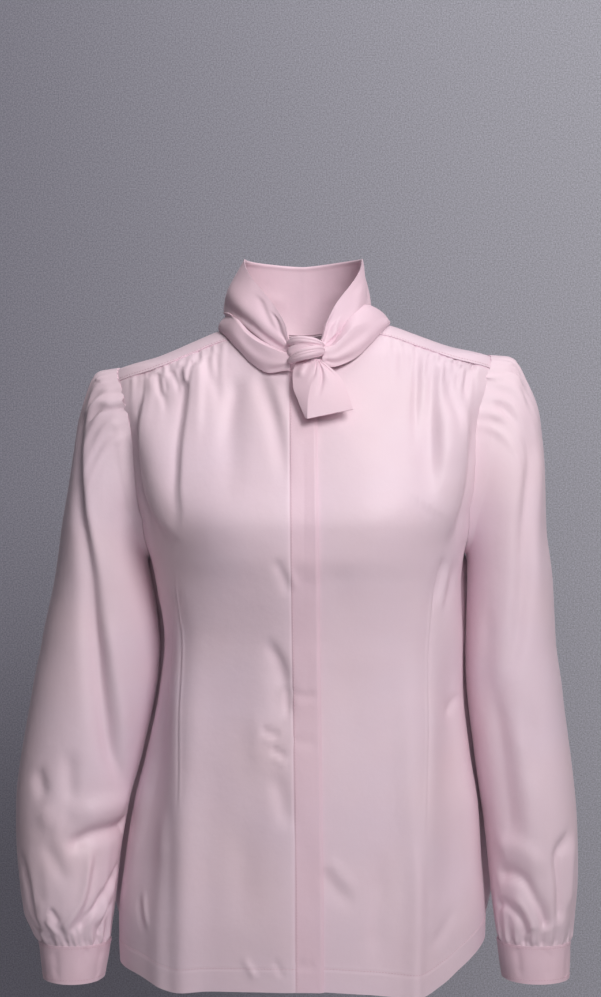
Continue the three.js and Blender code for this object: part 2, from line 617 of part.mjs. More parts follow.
function backRelief(x, z) {
  const below = BACK_YOKE_Z - z;
  const pleat = (Math.abs(x) - BACK_PLEAT.x - 0.05 * below) / BACK_PLEAT.width;
  const pleatFade = Math.exp(-below / BACK_PLEAT.length) * (1 - smoothstep(below, 300, 420));
  const dart = (Math.abs(x) - BACK_DART.x) / BACK_DART.width;
  const dartFade = smoothstep(z, BACK_DART.bottomZ, BACK_DART.bottomZ + 90)
    * (1 - smoothstep(z, BACK_DART.topZ - 90, BACK_DART.topZ));
  return BACK_PLEAT.depth * Math.exp(-pleat * pleat) * pleatFade * smoothstep(below, 0, 25)
    + BACK_DART.depth * Math.exp(-dart * dart) * dartFade;
}

function makeBack() {
  const rows = backRowHeights.map((rowZ) => steps(BACK_COLUMNS, -1, 1).map((share) => {
    const { edge, z: edgeZ, drop, spread, middle } = rowEdge(Math.sign(share) || 1, rowZ, false);
    const x = lerp(middle, edge.x, spread(Math.abs(share)));
    const isEdge = Math.abs(share) === 1;
    const toSeam = SEAM_GAP * (1 - smoothstep(BACK_YOKE_Z - rowZ, 0, 40));
    const z = (isEdge ? edgeZ : rowZ + drop * (hemAt(x) - HEM_Z)) - toSeam;
    const y = isEdge ? edge.y : depthAt(x, z, false);
    return lean(vec(x, y, z).add(facing(x, y, z).multiplyScalar(backRelief(x, z))));
  }));
  return wall(rows, CLOTH, (p) => vec(0, 0, p.z));
}

// Yoke: a patch between the neckline, the front seam, the armhole and the back seam
const YOKE_LINES = 44;
const YOKE_STRIPS = 8;
const ARM_LINES = 12;
const ARM_SHARE = (2 * ARM_LINES) / YOKE_LINES;

function armAngleAt(z, isFront) {
  const middle = (ARMHOLE.topZ + ARMPIT_Z) / 2;
  const angle = (Math.acos((z - middle) / ((ARMHOLE.topZ - ARMPIT_Z) / 2)) * 180) / Math.PI;
  return isFront ? angle : -angle;
}

// Angle on the armhole at which the front yoke seam ends
const SEAM_ARM_ANGLE = (() => {
  let angle = 0;
  while (armholePoint(1, angle).z > seamTop(armholePoint(1, angle).x)) angle += 0.25;
  return angle;
})();

function seamPoint(away) {
  const x = lerp(SEAM_NECK_X, armholePoint(1, SEAM_ARM_ANGLE).x, away);
  return vec(x, depthAt(x, seamTop(x), true), seamTop(x));
}

function yokePoint(side, share, away) {
  const backAngle = armAngleAt(BACK_YOKE_Z, false);
  const inner = neckPoint(lerp(SEAM_NECK_ANGLE, 180, share));
  const alongArm = Math.min(1, share / ARM_SHARE);
  const alongBack = Math.max(0, (share - ARM_SHARE) / (1 - ARM_SHARE));
  const outer = armholePoint(side, lerp(SEAM_ARM_ANGLE, backAngle, alongArm));
  const outerZ = outer.z;
  const outerAngle = lerp(bodyAngle(side, outer), 180, alongBack);
  const [start, seam, end] = [seamPoint(0), seamPoint(away), seamPoint(1)];
  const bowZ = seam.z - lerp(start.z, end.z, away);
  const bowAngle = bodyAngle(1, seam) - lerp(bodyAngle(1, start), bodyAngle(1, end), away);
  const z = lerp(inner.z, outerZ, away) + bowZ * (1 - share);
  const angle = lerp(bodyAngle(1, inner), outerAngle, away) + bowAngle * (1 - share);
  return lean(bodyPoint(side, angle, z));
}

function makeYoke() {
  const shares = steps(YOKE_LINES);
  const rows = steps(YOKE_STRIPS).map((away) => shares.map((share) => {
    const side = share <= 0.5 ? -1 : 1;
    return yokePoint(side, 1 - Math.abs(1 - 2 * share), away);
  }));
  return wall(rows, CLOTH, (p) => vec(p.x * 0.9, 0, p.z - 60));
}

// Sleeves
const CAP_GATHERS = { from: -80, to: 84, fade: 16, pitch: 10, reach: 22, height: 2.2 };
const CAP_PUFF = { rise: 5, drop: 12, spread: 10 };
const CUFF_GATHERS = { count: 15, reach: 30, height: 2.6 };
const CAP_COLUMNS = 60;
const CUFF_COLUMNS = 60;
const SLEEVE_COLUMNS = 20;
const sleeveRowShares = {
  cap: [0, 0.009, 0.024, 0.048],
  arm: [0.085, 0.13, 0.19, 0.26, 0.34, 0.43, 0.52, 0.61, 0.7, 0.78, 0.85, 0.905],
  cuff: [0.945, 0.972, 0.99, 1],
};
const SHOULDER_ROUND = 58;

function sleevePoint(name, angle, share) {
  const side = name === "left" ? 1 : -1;
  const seam = armholePoint(side, angle);
  const overPanel = (0.5 + 0.5 * Math.cos(degToRad(angle))) ** 0.4;
  seam.addScaledVector(bodyNormal(side, seam), ARM_GAP + CLOTH * overPanel);
  const z = lerp(seam.z, CUFF.topZ + SEAM_GAP, share);
  const drop = seam.z - z;
  const ring = ringAt[name](z);
  const a = degToRad(angle);
  const x = side * (ring.across + ring.half * Math.cos(a));
  const y = ring.depth - ring.deep * Math.sin(a);
  const round = Math.sqrt(1 - (1 - clamp(drop / SHOULDER_ROUND, 0, 1)) ** 2);
  const point = vec(lerp(seam.x, x, round), lerp(seam.y, y, round), z);
  const out = vec(side * Math.cos(a) * ring.deep, -Math.sin(a) * ring.half, 0).normalize();
  const folds = sleeveFolds[name].reduce((sum, fold) => {
    const place = ((angle % 360) + 360) % 360;
    return sum + foldHeight(fold, place, z, SLEEVE_KEYS);
  }, 0);
  const signedAngle = angle > 180 ? angle - 360 : angle;
  const { from, to, fade, pitch, reach, height } = CAP_GATHERS;
  const capShare = smoothstep(signedAngle, from, from + fade) * (1 - smoothstep(signedAngle, to - fade, to));
  const puff = 0.7 * height * Math.exp(-drop / reach) * smoothstep(drop, -3, 8);
  const cap = capShare * (puff + gathers(signedAngle + 4 * side, pitch, drop, reach, height));
  const toCuff = z - CUFF.topZ;
  const wave = Math.cos(degToRad(angle * CUFF_GATHERS.count));
  const cuff = CUFF_GATHERS.height * wave * Math.exp(-toCuff / CUFF_GATHERS.reach) * smoothstep(toCuff, 0, 6);
  const insideShare = smoothstep(Math.abs(signedAngle), 120, 160);
  const fromPuff = (drop - CAP_PUFF.drop) / CAP_PUFF.spread;
  const capRise = capShare * CAP_PUFF.rise * Math.exp(-fromPuff * fromPuff) * smoothstep(drop, 0, 6);
  point.addScaledVector(out, (folds + cap) * (1 - insideShare) + cuff);
  point.z += capRise * Math.max(0, Math.cos(a));
  return lean(point);
}

function makeSleeve(name) {
  const rowOf = (share, angles) => angles.map((angle) => sleevePoint(name, angle, share));
  const rowsOf = (shares, angles) => shares.map((share) => rowOf(share, angles));
  const ringAngles = (count) => steps(count, CAP_GATHERS.from, CAP_GATHERS.from + 360).slice(0, -1);
  const rows = [
    ...rowsOf(sleeveRowShares.cap, ringAngles(CAP_COLUMNS)),
    ...rowsOf(sleeveRowShares.arm, ringAngles(SLEEVE_COLUMNS)),
    ...rowsOf(sleeveRowShares.cuff, ringAngles(CUFF_COLUMNS)),
  ];
  const side = name === "left" ? 1 : -1;
  return wall(rows, CLOTH, (p) => vec(side * ringAt[name](p.z).across, 0, p.z - (p.z > -70 ? 30 : 0)), true);
}

// A cuff wraps round the wrist and its upper end laps over the lower one
const CUFF_STEP = CUFF_CLOTH + 0.7;

function cuffPoint(name, turn, z, out) {
  const side = name === "left" ? 1 : -1;
  const ring = ringAt[name](z);
  const angle = CUFF.startDeg + turn;
  const a = degToRad(angle);
  const lap = smoothstep(turn, 318, 356) * CUFF_STEP;
  const radiusX = ring.half + out + lap;
  const radiusY = ring.deep + out + lap;
  return lean(vec(side * (ring.across + radiusX * Math.cos(a)), ring.depth - radiusY * Math.sin(a), z));
}

function makeCuff(name) {
  const turns = steps(46, 0, CUFF.wrapDeg);
  const heights = steps(2, CUFF.topZ - SEAM_GAP * 0.3, CUFF.bottomZ);
  const rows = heights.map((z) => turns.map((turn) => cuffPoint(name, turn, z, 0.4)));
  const side = name === "left" ? 1 : -1;
  const heart = (p) => vec(side * ringAt[name](p.z).across, ringAt[name](p.z).depth, p.z);
  return wall(rows, CUFF_CLOTH, heart);
}

function makeCuffButton(name) {
  const z = (CUFF.topZ + CUFF.bottomZ) / 2;
  const turn = CUFF.wrapDeg - 14;
  const here = cuffPoint(name, turn, z, 0.4);
  const beside = cuffPoint(name, turn + 4, z, 0.4).sub(cuffPoint(name, turn - 4, z, 0.4));
  const above = cuffPoint(name, turn, z + 4, 0.4).sub(cuffPoint(name, turn, z - 4, 0.4));
  const side = name === "left" ? 1 : -1;
  const normal = beside.cross(above).normalize();
  const heart = vec(side * ringAt[name](z).across, ringAt[name](z).depth, z);
  if (normal.dot(here.clone().sub(heart)) < 0) normal.negate();
  return makeDisc(here.addScaledVector(normal, 1.9), normal, BUTTON.radius, 2.2, 16);
}

// Collar and tie
function standPoint(angle, share) {
  const s = standAt(angle);
  const [neckX, neckY] = neckPlan(angle);
  const neckZ = topOf(neckX, neckY) + SEAM_GAP + s.lift;
  const radius = Math.hypot(neckX, neckY);
  const out = vec(neckX / radius, neckY / radius, 0);
  const reach = lerp(radius + s.foot, s.topRadius, share) + s.belly * Math.sin(Math.PI * share ** 0.6);
  return lean(vec(out.x * reach, out.y * reach, lerp(neckZ, s.topZ, share)));
}

function makeStand() {
  const angles = [...steps(24, 12.5, 180), ...steps(24, -180, -10.5).slice(1)];
  const rows = [0, 0.12, 0.3, 0.55, 0.8, 1].map((share) => angles.map((angle) => standPoint(angle, share)));
  return wall(rows, TIE_CLOTH, (p) => vec(0, 0, p.z));
}

function tiePoint(angle, share) {
  const s = tieAt(angle);
  const a = degToRad(angle);
  const depth = Math.cos(a) > 0 ? TIE_PLAN.front : TIE_PLAN.back;
  const x = TIE_PLAN.half * Math.sin(a);
  const y = -depth * Math.cos(a);
  const radius = Math.hypot(x, y);
  const roll = 1.5 * Math.sin(Math.PI * share);
  const reach = (radius + s.lean * share + roll) / radius;
  return lean(vec(x * reach, y * reach, topOf(x, y) + s.lift + s.height * share));
}

function makeTieBand() {
  const angles = [...steps(24, TIE_PLAN.startDeg, 180), ...steps(24, -180, TIE_PLAN.endDeg).slice(1)];
  const rows = [0, 0.33, 0.67, 1].map((share) => angles.map((angle) => tiePoint(angle, share)));
  return wall(rows, TIE_CLOTH, (p) => vec(0, 0, p.z));
}

function makeKnot() {
  const rounds = 18;
  const rings = 10;
  const points = [vec(KNOT.x - KNOT.half, KNOT.y, KNOT.z)];
  for (let i = 1; i < rings; i += 1) {
    const across = -Math.cos((Math.PI * i) / rings);
    const girth = Math.sqrt(1 - across * across) ** KNOT.girthPower;
    for (let j = 0; j < rounds; j += 1) {
      const turn = (2 * Math.PI * j) / rounds;
      const groove = 1 - 0.12 * Math.exp(-(((Math.sin(turn) * 0.8 + across * 0.5 - 0.25) / 0.18) ** 2));
      const radius = girth * groove;
      const y = KNOT.y - KNOT.deep * radius * Math.cos(turn);
      const z = KNOT.z + KNOT.tall * radius * Math.sin(turn) + KNOT.twist * across;
      points.push(vec(KNOT.x + KNOT.half * across, y, z));
    }
  }
  points.push(vec(KNOT.x + KNOT.half, KNOT.y, KNOT.z));
  const faces = [];
  const last = points.length - 1;
  for (let j = 0; j < rounds; j += 1) {
    const k = (j + 1) % rounds;
    faces.push([0, 1 + k, 1 + j]);
    for (let i = 0; i < rings - 2; i += 1) {
      const a = 1 + i * rounds;
      faces.push([a + j, a + k, a + rounds + k], [a + j, a + rounds + k, a + rounds + j]);
    }
    const a = 1 + (rings - 2) * rounds;
    faces.push([a + j, a + k, last]);
  }
  return faceOut(geometryOf(points.map(lean), faces));
}

// Turns every face round if the closed surface is inside out
function faceOut(geometry) {
  const p = geometry.getAttribute("position");
  const index = geometry.getIndex();
  const corner = (i) => vec(p.getX(index.getX(i)), p.getY(index.getX(i)), p.getZ(index.getX(i)));
  let volume = 0;
  for (let i = 0; i < index.count; i += 3) volume += corner(i).dot(corner(i + 1).cross(corner(i + 2)));
  if (volume < 0) {
    for (let i = 0; i < index.count; i += 3) {
      const second = index.getX(i + 1);
      index.setX(i + 1, index.getX(i + 2));
      index.setX(i + 2, second);
    }
  }
  return geometry;
}

const RIDGE_SHARE = 0.25;

function makeTail(tail) {
  const point = (across, down) => {
    const isTurned = across < RIDGE_SHARE;
    const [k, t] = isTurned ? [0, across / RIDGE_SHARE] : [1, (across - RIDGE_SHARE) / (1 - RIDGE_SHARE)];
    const [topA, topB] = [tail.top[k], tail.top[k + 1]];
    const top = vec(lerp(topA.x, topB.x, t), lerp(topA.y, topB.y, t), tail.topZ);
    const [endA, endB] = [tail.bottom[k], tail.bottom[k + 1]];
    const bottom = vec(lerp(endA.x, endB.x, t), lerp(endA.y, endB.y, t), lerp(endA.z, endB.z, t));
    const spread = down ** 0.8;
    const made = vec(lerp(top.x, bottom.x, spread), lerp(top.y, bottom.y, down), lerp(top.z, bottom.z, down));
    const belly = Math.sin(Math.PI * down) * tail.bulge;
    made.y -= belly * Math.sin(Math.PI * across) * 0.6;
    if (isTurned) made.x -= belly * (1 - t);
    return lean(made);
  };
  const rows = steps(7).map((down) => [0, 0.12, 0.25, 0.4, 0.6, 0.8, 1].map((across) => point(across, down)));
  return wall(rows, TIE_CLOTH, (p) => vec(10, 0, p.z));
}

// Materials
const crepe = { color: 0xe3c6d3, roughness: 0.55, metalness: 0 };
const doubled = { color: 0xdfbdcb, roughness: 0.55, metalness: 0 };
const pearl = { color: 0xead6de, roughness: 0.25, metalness: 0 };

const blouse = new THREE.Group();
function add(name, geometry, finish) {
  const mesh = new THREE.Mesh(geometry, new THREE.MeshStandardMaterial(finish));
  mesh.name = name;
  blouse.add(mesh);
}

add("front_right", makeFront(-1), crepe);
add("front_left", makeFront(1), crepe);
add("back", makeBack(), crepe);
add("yoke", makeYoke(), doubled);
add("placket", makePlacket(), doubled);
for (const name of ["right", "left"]) {
  add(`sleeve_${name}`, makeSleeve(name), crepe);
  add(`cuff_${name}`, makeCuff(name), doubled);
  add(`cuff_button_${name}`, makeCuffButton(name), pearl);
}
for (let i = 0; i < BUTTON.count; i += 1) add(`front_button_${i + 1}`, makeHiddenButton(i), pearl);
add("collar_stand", makeStand(), doubled);
add("tie_band", makeTieBand(), doubled);
add("tie_knot", makeKnot(), doubled);
add("tie_end_front", makeTail(tails.front), doubled);
add("tie_end_back", makeTail(tails.back), doubled);

export default blouse;
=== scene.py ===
import math
from types import SimpleNamespace

import bpy
import numpy as np
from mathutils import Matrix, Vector


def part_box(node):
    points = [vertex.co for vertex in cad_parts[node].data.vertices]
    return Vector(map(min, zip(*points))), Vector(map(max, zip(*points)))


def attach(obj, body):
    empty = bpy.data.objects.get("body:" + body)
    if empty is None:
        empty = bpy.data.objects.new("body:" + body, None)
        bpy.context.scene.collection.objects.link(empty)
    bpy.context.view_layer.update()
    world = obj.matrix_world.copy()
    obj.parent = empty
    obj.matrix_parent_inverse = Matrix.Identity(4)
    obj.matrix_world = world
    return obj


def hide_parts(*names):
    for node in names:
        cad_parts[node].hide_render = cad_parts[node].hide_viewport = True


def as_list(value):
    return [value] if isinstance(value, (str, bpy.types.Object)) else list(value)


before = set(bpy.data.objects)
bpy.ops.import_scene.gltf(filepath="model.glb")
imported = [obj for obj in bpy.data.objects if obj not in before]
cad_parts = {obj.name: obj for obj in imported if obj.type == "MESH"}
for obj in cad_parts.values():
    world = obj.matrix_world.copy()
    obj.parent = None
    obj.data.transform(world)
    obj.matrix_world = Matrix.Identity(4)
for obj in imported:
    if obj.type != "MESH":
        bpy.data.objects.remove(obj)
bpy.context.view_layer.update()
print("frame loaded:", len(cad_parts), "nodes")

# Sizes are millimetres in the frame: +x is the wearer's left, -y the front, z up.
mm = 0.001


# ---- curves and tables

def smoothStep(x, low, high):
    t = np.clip((np.asarray(x, float) - low) / (high - low), 0, 1)
    return t * t * (3 - 2 * t)


def mix(a, b, t):
    return a + (b - a) * t


def signedPower(x, power):
    return np.sign(x) * np.abs(x) ** power


def curveOf(xs, ys):
    # a smooth curve through the points that never overshoots them
    xs, ys = np.array(xs, float), np.array(ys, float)
    slopes = np.diff(ys) / np.diff(xs)
    tangents = np.zeros(len(xs))
    tangents[0], tangents[-1] = slopes[0], slopes[-1]
    before, after = slopes[:-1], slopes[1:]
    same = before * after > 0
    total = np.where(same, before + after, 1)
    tangents[1:-1] = np.where(same, 2 * before * after / total, 0)

    def curve(x):
        x = np.clip(x, xs[0], xs[-1])
        i = np.clip(np.searchsorted(xs, x) - 1, 0, len(xs) - 2)
        width = xs[i + 1] - xs[i]
        t = (x - xs[i]) / width
        blend = t * t * (3 - 2 * t)
        bend = tangents[i] * t * (1 - t) ** 2 - tangents[i + 1] * t * t * (1 - t)
        return ys[i] * (1 - blend) + ys[i + 1] * blend + width * bend
    return curve


def tableOf(columns, rows):
    # the first column is what the others are looked up by
    names = columns.split()
    data = np.array(sorted(rows), float)
    curves = {name: curveOf(data[:, 0], data[:, i]) for i, name in enumerate(names) if i}
    return lambda at: SimpleNamespace(**{name: curve(at) for name, curve in curves.items()})


# ---- creases, each a path with its own widths and depth

def splinePath(points, pieces=8):
    points = np.array(points, float)
    padded = np.vstack([2 * points[0] - points[1], points, 2 * points[-1] - points[-2]])
    path = []
    for i in range(len(points) - 1):
        a, b, c, d = padded[i:i + 4]
        for t in np.linspace(0, 1, pieces, endpoint=False):
            path.append(0.5 * (2 * b + (c - a) * t + (2 * a - 5 * b + 4 * c - d) * t ** 2
                               + (3 * b - 3 * c + d - a) * t ** 3))
    return np.array(path + [points[-1]])


def nearPath(u, v, points):
    # signed distance, plus to the left of the path's direction, and the share of its length
    path = splinePath(points)
    steps = np.diff(path, axis=0)
    lengths = np.hypot(steps[:, 0], steps[:, 1])
    starts = np.concatenate([[0], np.cumsum(lengths)[:-1]])
    nearest = np.full(u.shape, 1e9)
    along = np.zeros(u.shape)
    side = np.ones(u.shape)
    for (au, av), (du, dv), length, start in zip(path[:-1], steps, lengths, starts):
        t = np.clip(((u - au) * du + (v - av) * dv) / length ** 2, 0, 1)
        offU, offV = u - au - t * du, v - av - t * dv
        distance = np.hypot(offU, offV)
        closer = distance < nearest
        nearest = np.where(closer, distance, nearest)
        along = np.where(closer, (start + t * length) / lengths.sum(), along)
        side = np.where(closer, np.where(du * offV - dv * offU < 0, -1, 1), side)
    return nearest * side, along


def closeTo(u, v, path, reach):
    low, high = np.min(path, axis=0) - reach, np.max(path, axis=0) + reach
    return (u > low[0]) & (u < high[0]) & (v > low[1]) & (v < high[1])


def endFade(along, fadeIn, fadeOut):
    start = smoothStep(along, 0, fadeIn) if fadeIn else 1
    end = 1 - smoothStep(along, 1 - fadeOut, 1) if fadeOut else 1
    return start * end


def foldSum(u, v, folds):
    # rows: path, width on its left, width on its right, height (minus sinks in), fade at each end
    total = np.zeros(u.shape)
    for path, left, right, height, fadeIn, fadeOut in folds:
        near = closeTo(u, v, path, 3 * max(left, right))
        if near.any():
            distance, along = nearPath(u[near], v[near], path)
            width = np.where(distance > 0, left, right)
            total[near] += height * endFade(along, fadeIn, fadeOut) * np.exp(-(distance / width) ** 2)
    return total


def ledgeSum(u, v, ledges):
    # rows: path, side that stands out (1 left, -1 right), width of the step, height, how far it dies away
    total = np.zeros(u.shape)
    for path, side, width, height, decay, fadeIn, fadeOut in ledges:
        near = closeTo(u, v, path, 3 * decay)
        if near.any():
            distance, along = nearPath(u[near], v[near], path)
            inside = side * distance
            step = smoothStep(inside, -width, width) * np.exp(-(np.maximum(0, inside - width) / decay) ** 2)
            total[near] += height * endFade(along, fadeIn, fadeOut) * step
    return total


def bend(x1, z1, x2, z2, x3, z3):
    t = np.linspace(0, 1, 6)
    return [((1 - k) ** 2 * x1 + 2 * k * (1 - k) * x2 + k * k * x3,
             (1 - k) ** 2 * z1 + 2 * k * (1 - k) * z2 + k * k * z3) for k in t]


# ---- the worn form: level sections of the body from neck to hem

form = {
    "hemZ": -640, "armpitZ": -222, "frontSeamDrop": 14, "backYokeZ": -100, "leanSlope": 0.035,
    "neckHalf": 66, "neckFront": 66, "neckBack": 57,
    "armholeTop": -30, "armholeFront": 52, "armholeBack": 58,
    "armSink": 6.5, "cloth": 0.9,
}

section = tableOf("z half shift front back power", [
    (16, 52, 0, 12, 30, 2.0), (12, 62, 0, 24, 42, 2.0), (5, 89, 0, 38, 54, 2.0), (-4, 112, 0, 50, 65, 2.0),
    (-18, 148, 0, 59, 76, 2.0), (-30, 190, 0, 65, 84, 2.05), (-45, 200, 0, 73, 91, 2.1),
    (-70, 203, 0, 84, 100, 2.15), (-105, 200, 0, 97, 108, 2.2), (-150, 190, 1, 113, 112, 2.2),
    (-196, 172, 2, 126, 109, 2.2), (-222, 160, 3, 125, 104, 2.2), (-251, 155, 4.5, 119, 97, 2.25),
    (-311, 151.5, 9.7, 108, 89, 2.3), (-357, 154, 7.4, 106, 91, 2.3), (-428, 165, 4, 108, 103, 2.3),
    (-474, 174.5, 2, 110, 111, 2.3), (-534, 181, -0.8, 112, 118, 2.3), (-590, 186, -2, 114, 121, 2.3),
    (-660, 183, -2, 114, 120, 2.3),
])

hemTable = tableOf("x z", [
    (-190, -633), (-168, -635), (-148, -640), (-124, -645), (-90, -642), (0, -640), (60, -644),
    (108, -649), (135, -640), (152, -629), (168, -619), (190, -604),
])


def hemAt(x):
    return hemTable(x).z


def lean(points):
    # the wearer's right shoulder hangs a little lower
    points[..., 2] += form["leanSlope"] * points[..., 0] * smoothStep(points[..., 2], -300, -90)
    return points


def stack(x, y, z):
    return np.stack(np.broadcast_arrays(x, y, z), axis=-1).astype(float)


def outsideOf(x, y, z):
    s = section(z)
    depth = np.where(y < 0, s.front, s.back)
    return np.abs((x - s.shift) / s.half) ** s.power + np.abs(y / depth) ** s.power - 1


def topOf(x, y):
    # height of the shoulders over points of the plan
    x, y = np.broadcast_arrays(np.asarray(x, float), np.asarray(y, float))
    low = np.full(x.shape, 13.0)
    while True:
        up = (outsideOf(x, y, low) > 0) & (low > -200)
        if not up.any():
            break
        low = np.where(up, low - 3, low)
    high = low + 3
    for _ in range(24):
        middle = (low + high) / 2
        isOut = outsideOf(x, y, middle) > 0
        low, high = np.where(isOut, low, middle), np.where(isOut, middle, high)
    return low


def depthAt(x, z, isFront):
    s = section(z)
    share = np.clip(np.abs((x - s.shift) / s.half), 0, 1)
    reach = np.maximum(0, 1 - share ** s.power) ** (1 / s.power)
    return -s.front * reach if isFront else s.back * reach


def facing(x, y, z):
    s = section(z)
    depth = np.where(y < 0, s.front, s.back)
    nx = signedPower((x - s.shift) / s.half, s.power - 1) / s.half
    ny = signedPower(y / depth, s.power - 1) / depth
    length = np.hypot(nx, ny) + 1e-12
    return stack(nx / length, ny / length, 0 * nx)


def bodyPoint(side, angle, z):
    s = section(z)
    a = np.radians(angle)
    x = s.half * np.abs(np.sin(a)) ** (2 / s.power)
    y = np.abs(np.cos(a)) ** (2 / s.power)
    return stack(s.shift + side * x, np.where(angle < 90, -s.front * y, s.back * y), z)


def bodyAngle(p):
    s = section(p[..., 2])
    depth = np.where(p[..., 1] < 0, s.front, s.back)
    across = np.abs((p[..., 0] - s.shift) / s.half) ** (s.power / 2)
    along = np.abs(p[..., 1] / depth) ** (s.power / 2)
    angle = np.degrees(np.arctan2(across, along))
    return np.where(p[..., 1] < 0, angle, 180 - angle)


def bodyNormal(side, p):
    angle, z = bodyAngle(p), p[..., 2]
    around = bodyPoint(side, angle + 0.5, z) - bodyPoint(side, angle - 0.5, z)
    down = bodyPoint(side, angle, z - 1) - bodyPoint(side, angle, z + 1)
    normal = np.cross(around, down)
    normal /= np.linalg.norm(normal, axis=-1, keepdims=True)
    flat = normal[..., 0] * p[..., 0] + normal[..., 1] * p[..., 1]
    return np.where(flat[..., None] < 0, -normal, normal)


ridgeX = np.arange(0, 206.5, 0.5)
ridgeZ = topOf(ridgeX, 0 * ridgeX)


def seamTop(x):
    return np.interp(np.abs(x), ridgeX, ridgeZ) - form["frontSeamDrop"]


def neckPlan(angle):
    a = np.radians(angle)
    depth = np.where(np.cos(a) > 0, form["neckFront"], form["neckBack"])
    return form["neckHalf"] * np.sin(a), -depth * np.cos(a)


def neckPoint(angle):
    x, y = neckPlan(angle)
    return stack(x, y, topOf(x, y))


scanAngles = np.arange(20, 90, 0.25)
isUnder = neckPoint(scanAngles)[:, 2] < seamTop(np.maximum(neckPlan(scanAngles)[0], 30))
seamNeckAngle = scanAngles[np.argmin(isUnder)]
seamNeckX = float(neckPlan(seamNeckAngle)[0])
topX = np.arange(0, 206, 0.5)
neckAngles = np.degrees(np.arcsin(np.clip(topX / form["neckHalf"], 0, 1)))
topLine = np.where(topX < seamNeckX, neckPoint(neckAngles)[:, 2], seamTop(topX))


def frontTop(x):
    return np.interp(np.abs(x), topX, topLine)


def armholePoint(side, angle, grow=0.0):
    # 0 is the shoulder point, 90 the front, 180 the armpit
    a = np.radians(angle)
    middle = (form["armholeTop"] + form["armpitZ"]) / 2
    z = middle + ((form["armholeTop"] - form["armpitZ"]) / 2 + grow) * np.cos(a)
    isFront = np.sin(a) >= 0
    y = -(np.where(isFront, form["armholeFront"], form["armholeBack"]) + grow) * np.sin(a)
    s = section(z)
    depth = np.where(isFront, s.front, s.back)
    reach = (1 - np.abs(y / depth) ** s.power) ** (1 / s.power)
    return stack(s.shift + side * s.half * reach, y, z)


def armSink(z):
    # the front of the armhole seam is drawn in between the chest and the sleeve
    return form["armSink"] * smoothStep(-z, 58, 112) * (1 - smoothStep(-z, 180, 218))


def armAngleAt(z):
    middle = (form["armholeTop"] + form["armpitZ"]) / 2
    share = np.clip((z - middle) / ((form["armholeTop"] - form["armpitZ"]) / 2), -1, 1)
    return np.degrees(np.arccos(share))


def panelEdge(side, z, isFront):
    # the armhole above the armpit, the side seam below it
    angle = armAngleAt(z)
    arm = armholePoint(side, angle if isFront else 360 - angle)
    s = section(z)
    seam = stack(s.shift + side * s.half * 0.9999, (-0.1 if isFront else 0.1) + 0 * z, z)
    return np.where((z > form["armpitZ"])[..., None], arm, seam)


def centreLine(z):
    return mix(-1, 5, smoothStep(-z, 60, -form["hemZ"]))


scanArm = armholePoint(1, np.arange(0, 60, 0.25))
seamArmAngle = 0.25 * np.argmax(scanArm[:, 2] <= seamTop(scanArm[:, 0]))


# ---- mesh building

def meshObject(name, points, faces, uvs, material):
    mesh = bpy.data.meshes.new(name)
    mesh.from_pydata((np.asarray(points) * mm).tolist(), [], faces.tolist() if hasattr(faces, "tolist") else faces)
    if uvs is not None:
        layer = mesh.uv_layers.new(name="cloth")
        corner = np.zeros(len(mesh.loops), np.int32)
        mesh.loops.foreach_get("vertex_index", corner)
        layer.data.foreach_set("uv", (np.asarray(uvs)[corner] * mm).astype(np.float32).ravel())
    mesh.shade_smooth()
    mesh.set_sharp_from_angle(angle=math.radians(55))
    mesh.materials.append(material)
    mesh.validate()
    piece = bpy.data.objects.new(name, mesh)
    bpy.context.scene.collection.objects.link(piece)
    return piece


def gridNormals(grid, ring):
    if ring:
        across = np.roll(grid, -1, axis=1) - np.roll(grid, 1, axis=1)
    else:
        across = np.gradient(grid, axis=1)
    down = np.gradient(grid, axis=0)
    normal = np.cross(across, down)
    return normal / (np.linalg.norm(normal, axis=-1, keepdims=True) + 1e-12)


def clothShell(name, grid, thickness, material, heart, ring=False):
    # grid holds the outer surface, rows by columns; the inner one lies a cloth's thickness inside
    rows, columns = grid.shape[:2]
    normal = gridNormals(grid, ring)
    outward = np.sum(normal * (grid - heart)) > 0
    normal = normal if outward else -normal
    thick = np.asarray(thickness, float)
    inner = grid - normal * (thick[..., None] if thick.ndim else thick)
    index = np.arange(rows * columns).reshape(rows, columns)
    wrapped = np.concatenate([index, index[:, :1]], axis=1) if ring else index
    a, b = wrapped[:-1, :-1], wrapped[:-1, 1:]
    d, c = wrapped[1:, :-1], wrapped[1:, 1:]
    # the order a, b, c, d faces outward, and is turned where the grid runs the other way
    quads = np.stack([a, b, c, d], axis=-1).reshape(-1, 4)
    if not outward:
        quads = quads[:, ::-1]
    count = rows * columns
    faces = [quads, quads[:, ::-1] + count]
    edges = [(wrapped[0, :-1], wrapped[0, 1:], True), (wrapped[-1, :-1], wrapped[-1, 1:], False)]
    if not ring:
        edges += [(index[:-1, 0], index[1:, 0], False), (index[:-1, -1], index[1:, -1], True)]
    for p, q, isForward in edges:
        if isForward == bool(outward):
            p, q = q, p
        faces.append(np.stack([p, q, q + count, p + count], axis=-1))
    stepU = np.linalg.norm(np.diff(grid, axis=1), axis=-1)
    u = np.concatenate([np.zeros((rows, 1)), np.cumsum(stepU, axis=1)], axis=1)
    u = u - u[:, columns // 2:columns // 2 + 1]
    stepV = np.linalg.norm(np.diff(grid[:, columns // 2], axis=0), axis=-1)
    v = np.broadcast_to(-np.concatenate([[0], np.cumsum(stepV)])[:, None], u.shape)
    uv = np.stack([u, v], axis=-1).reshape(-1, 2)
    points = np.concatenate([grid.reshape(-1, 3), inner.reshape(-1, 3)])
    return meshObject(name, points, np.concatenate(faces), np.concatenate([uv, uv]), material)


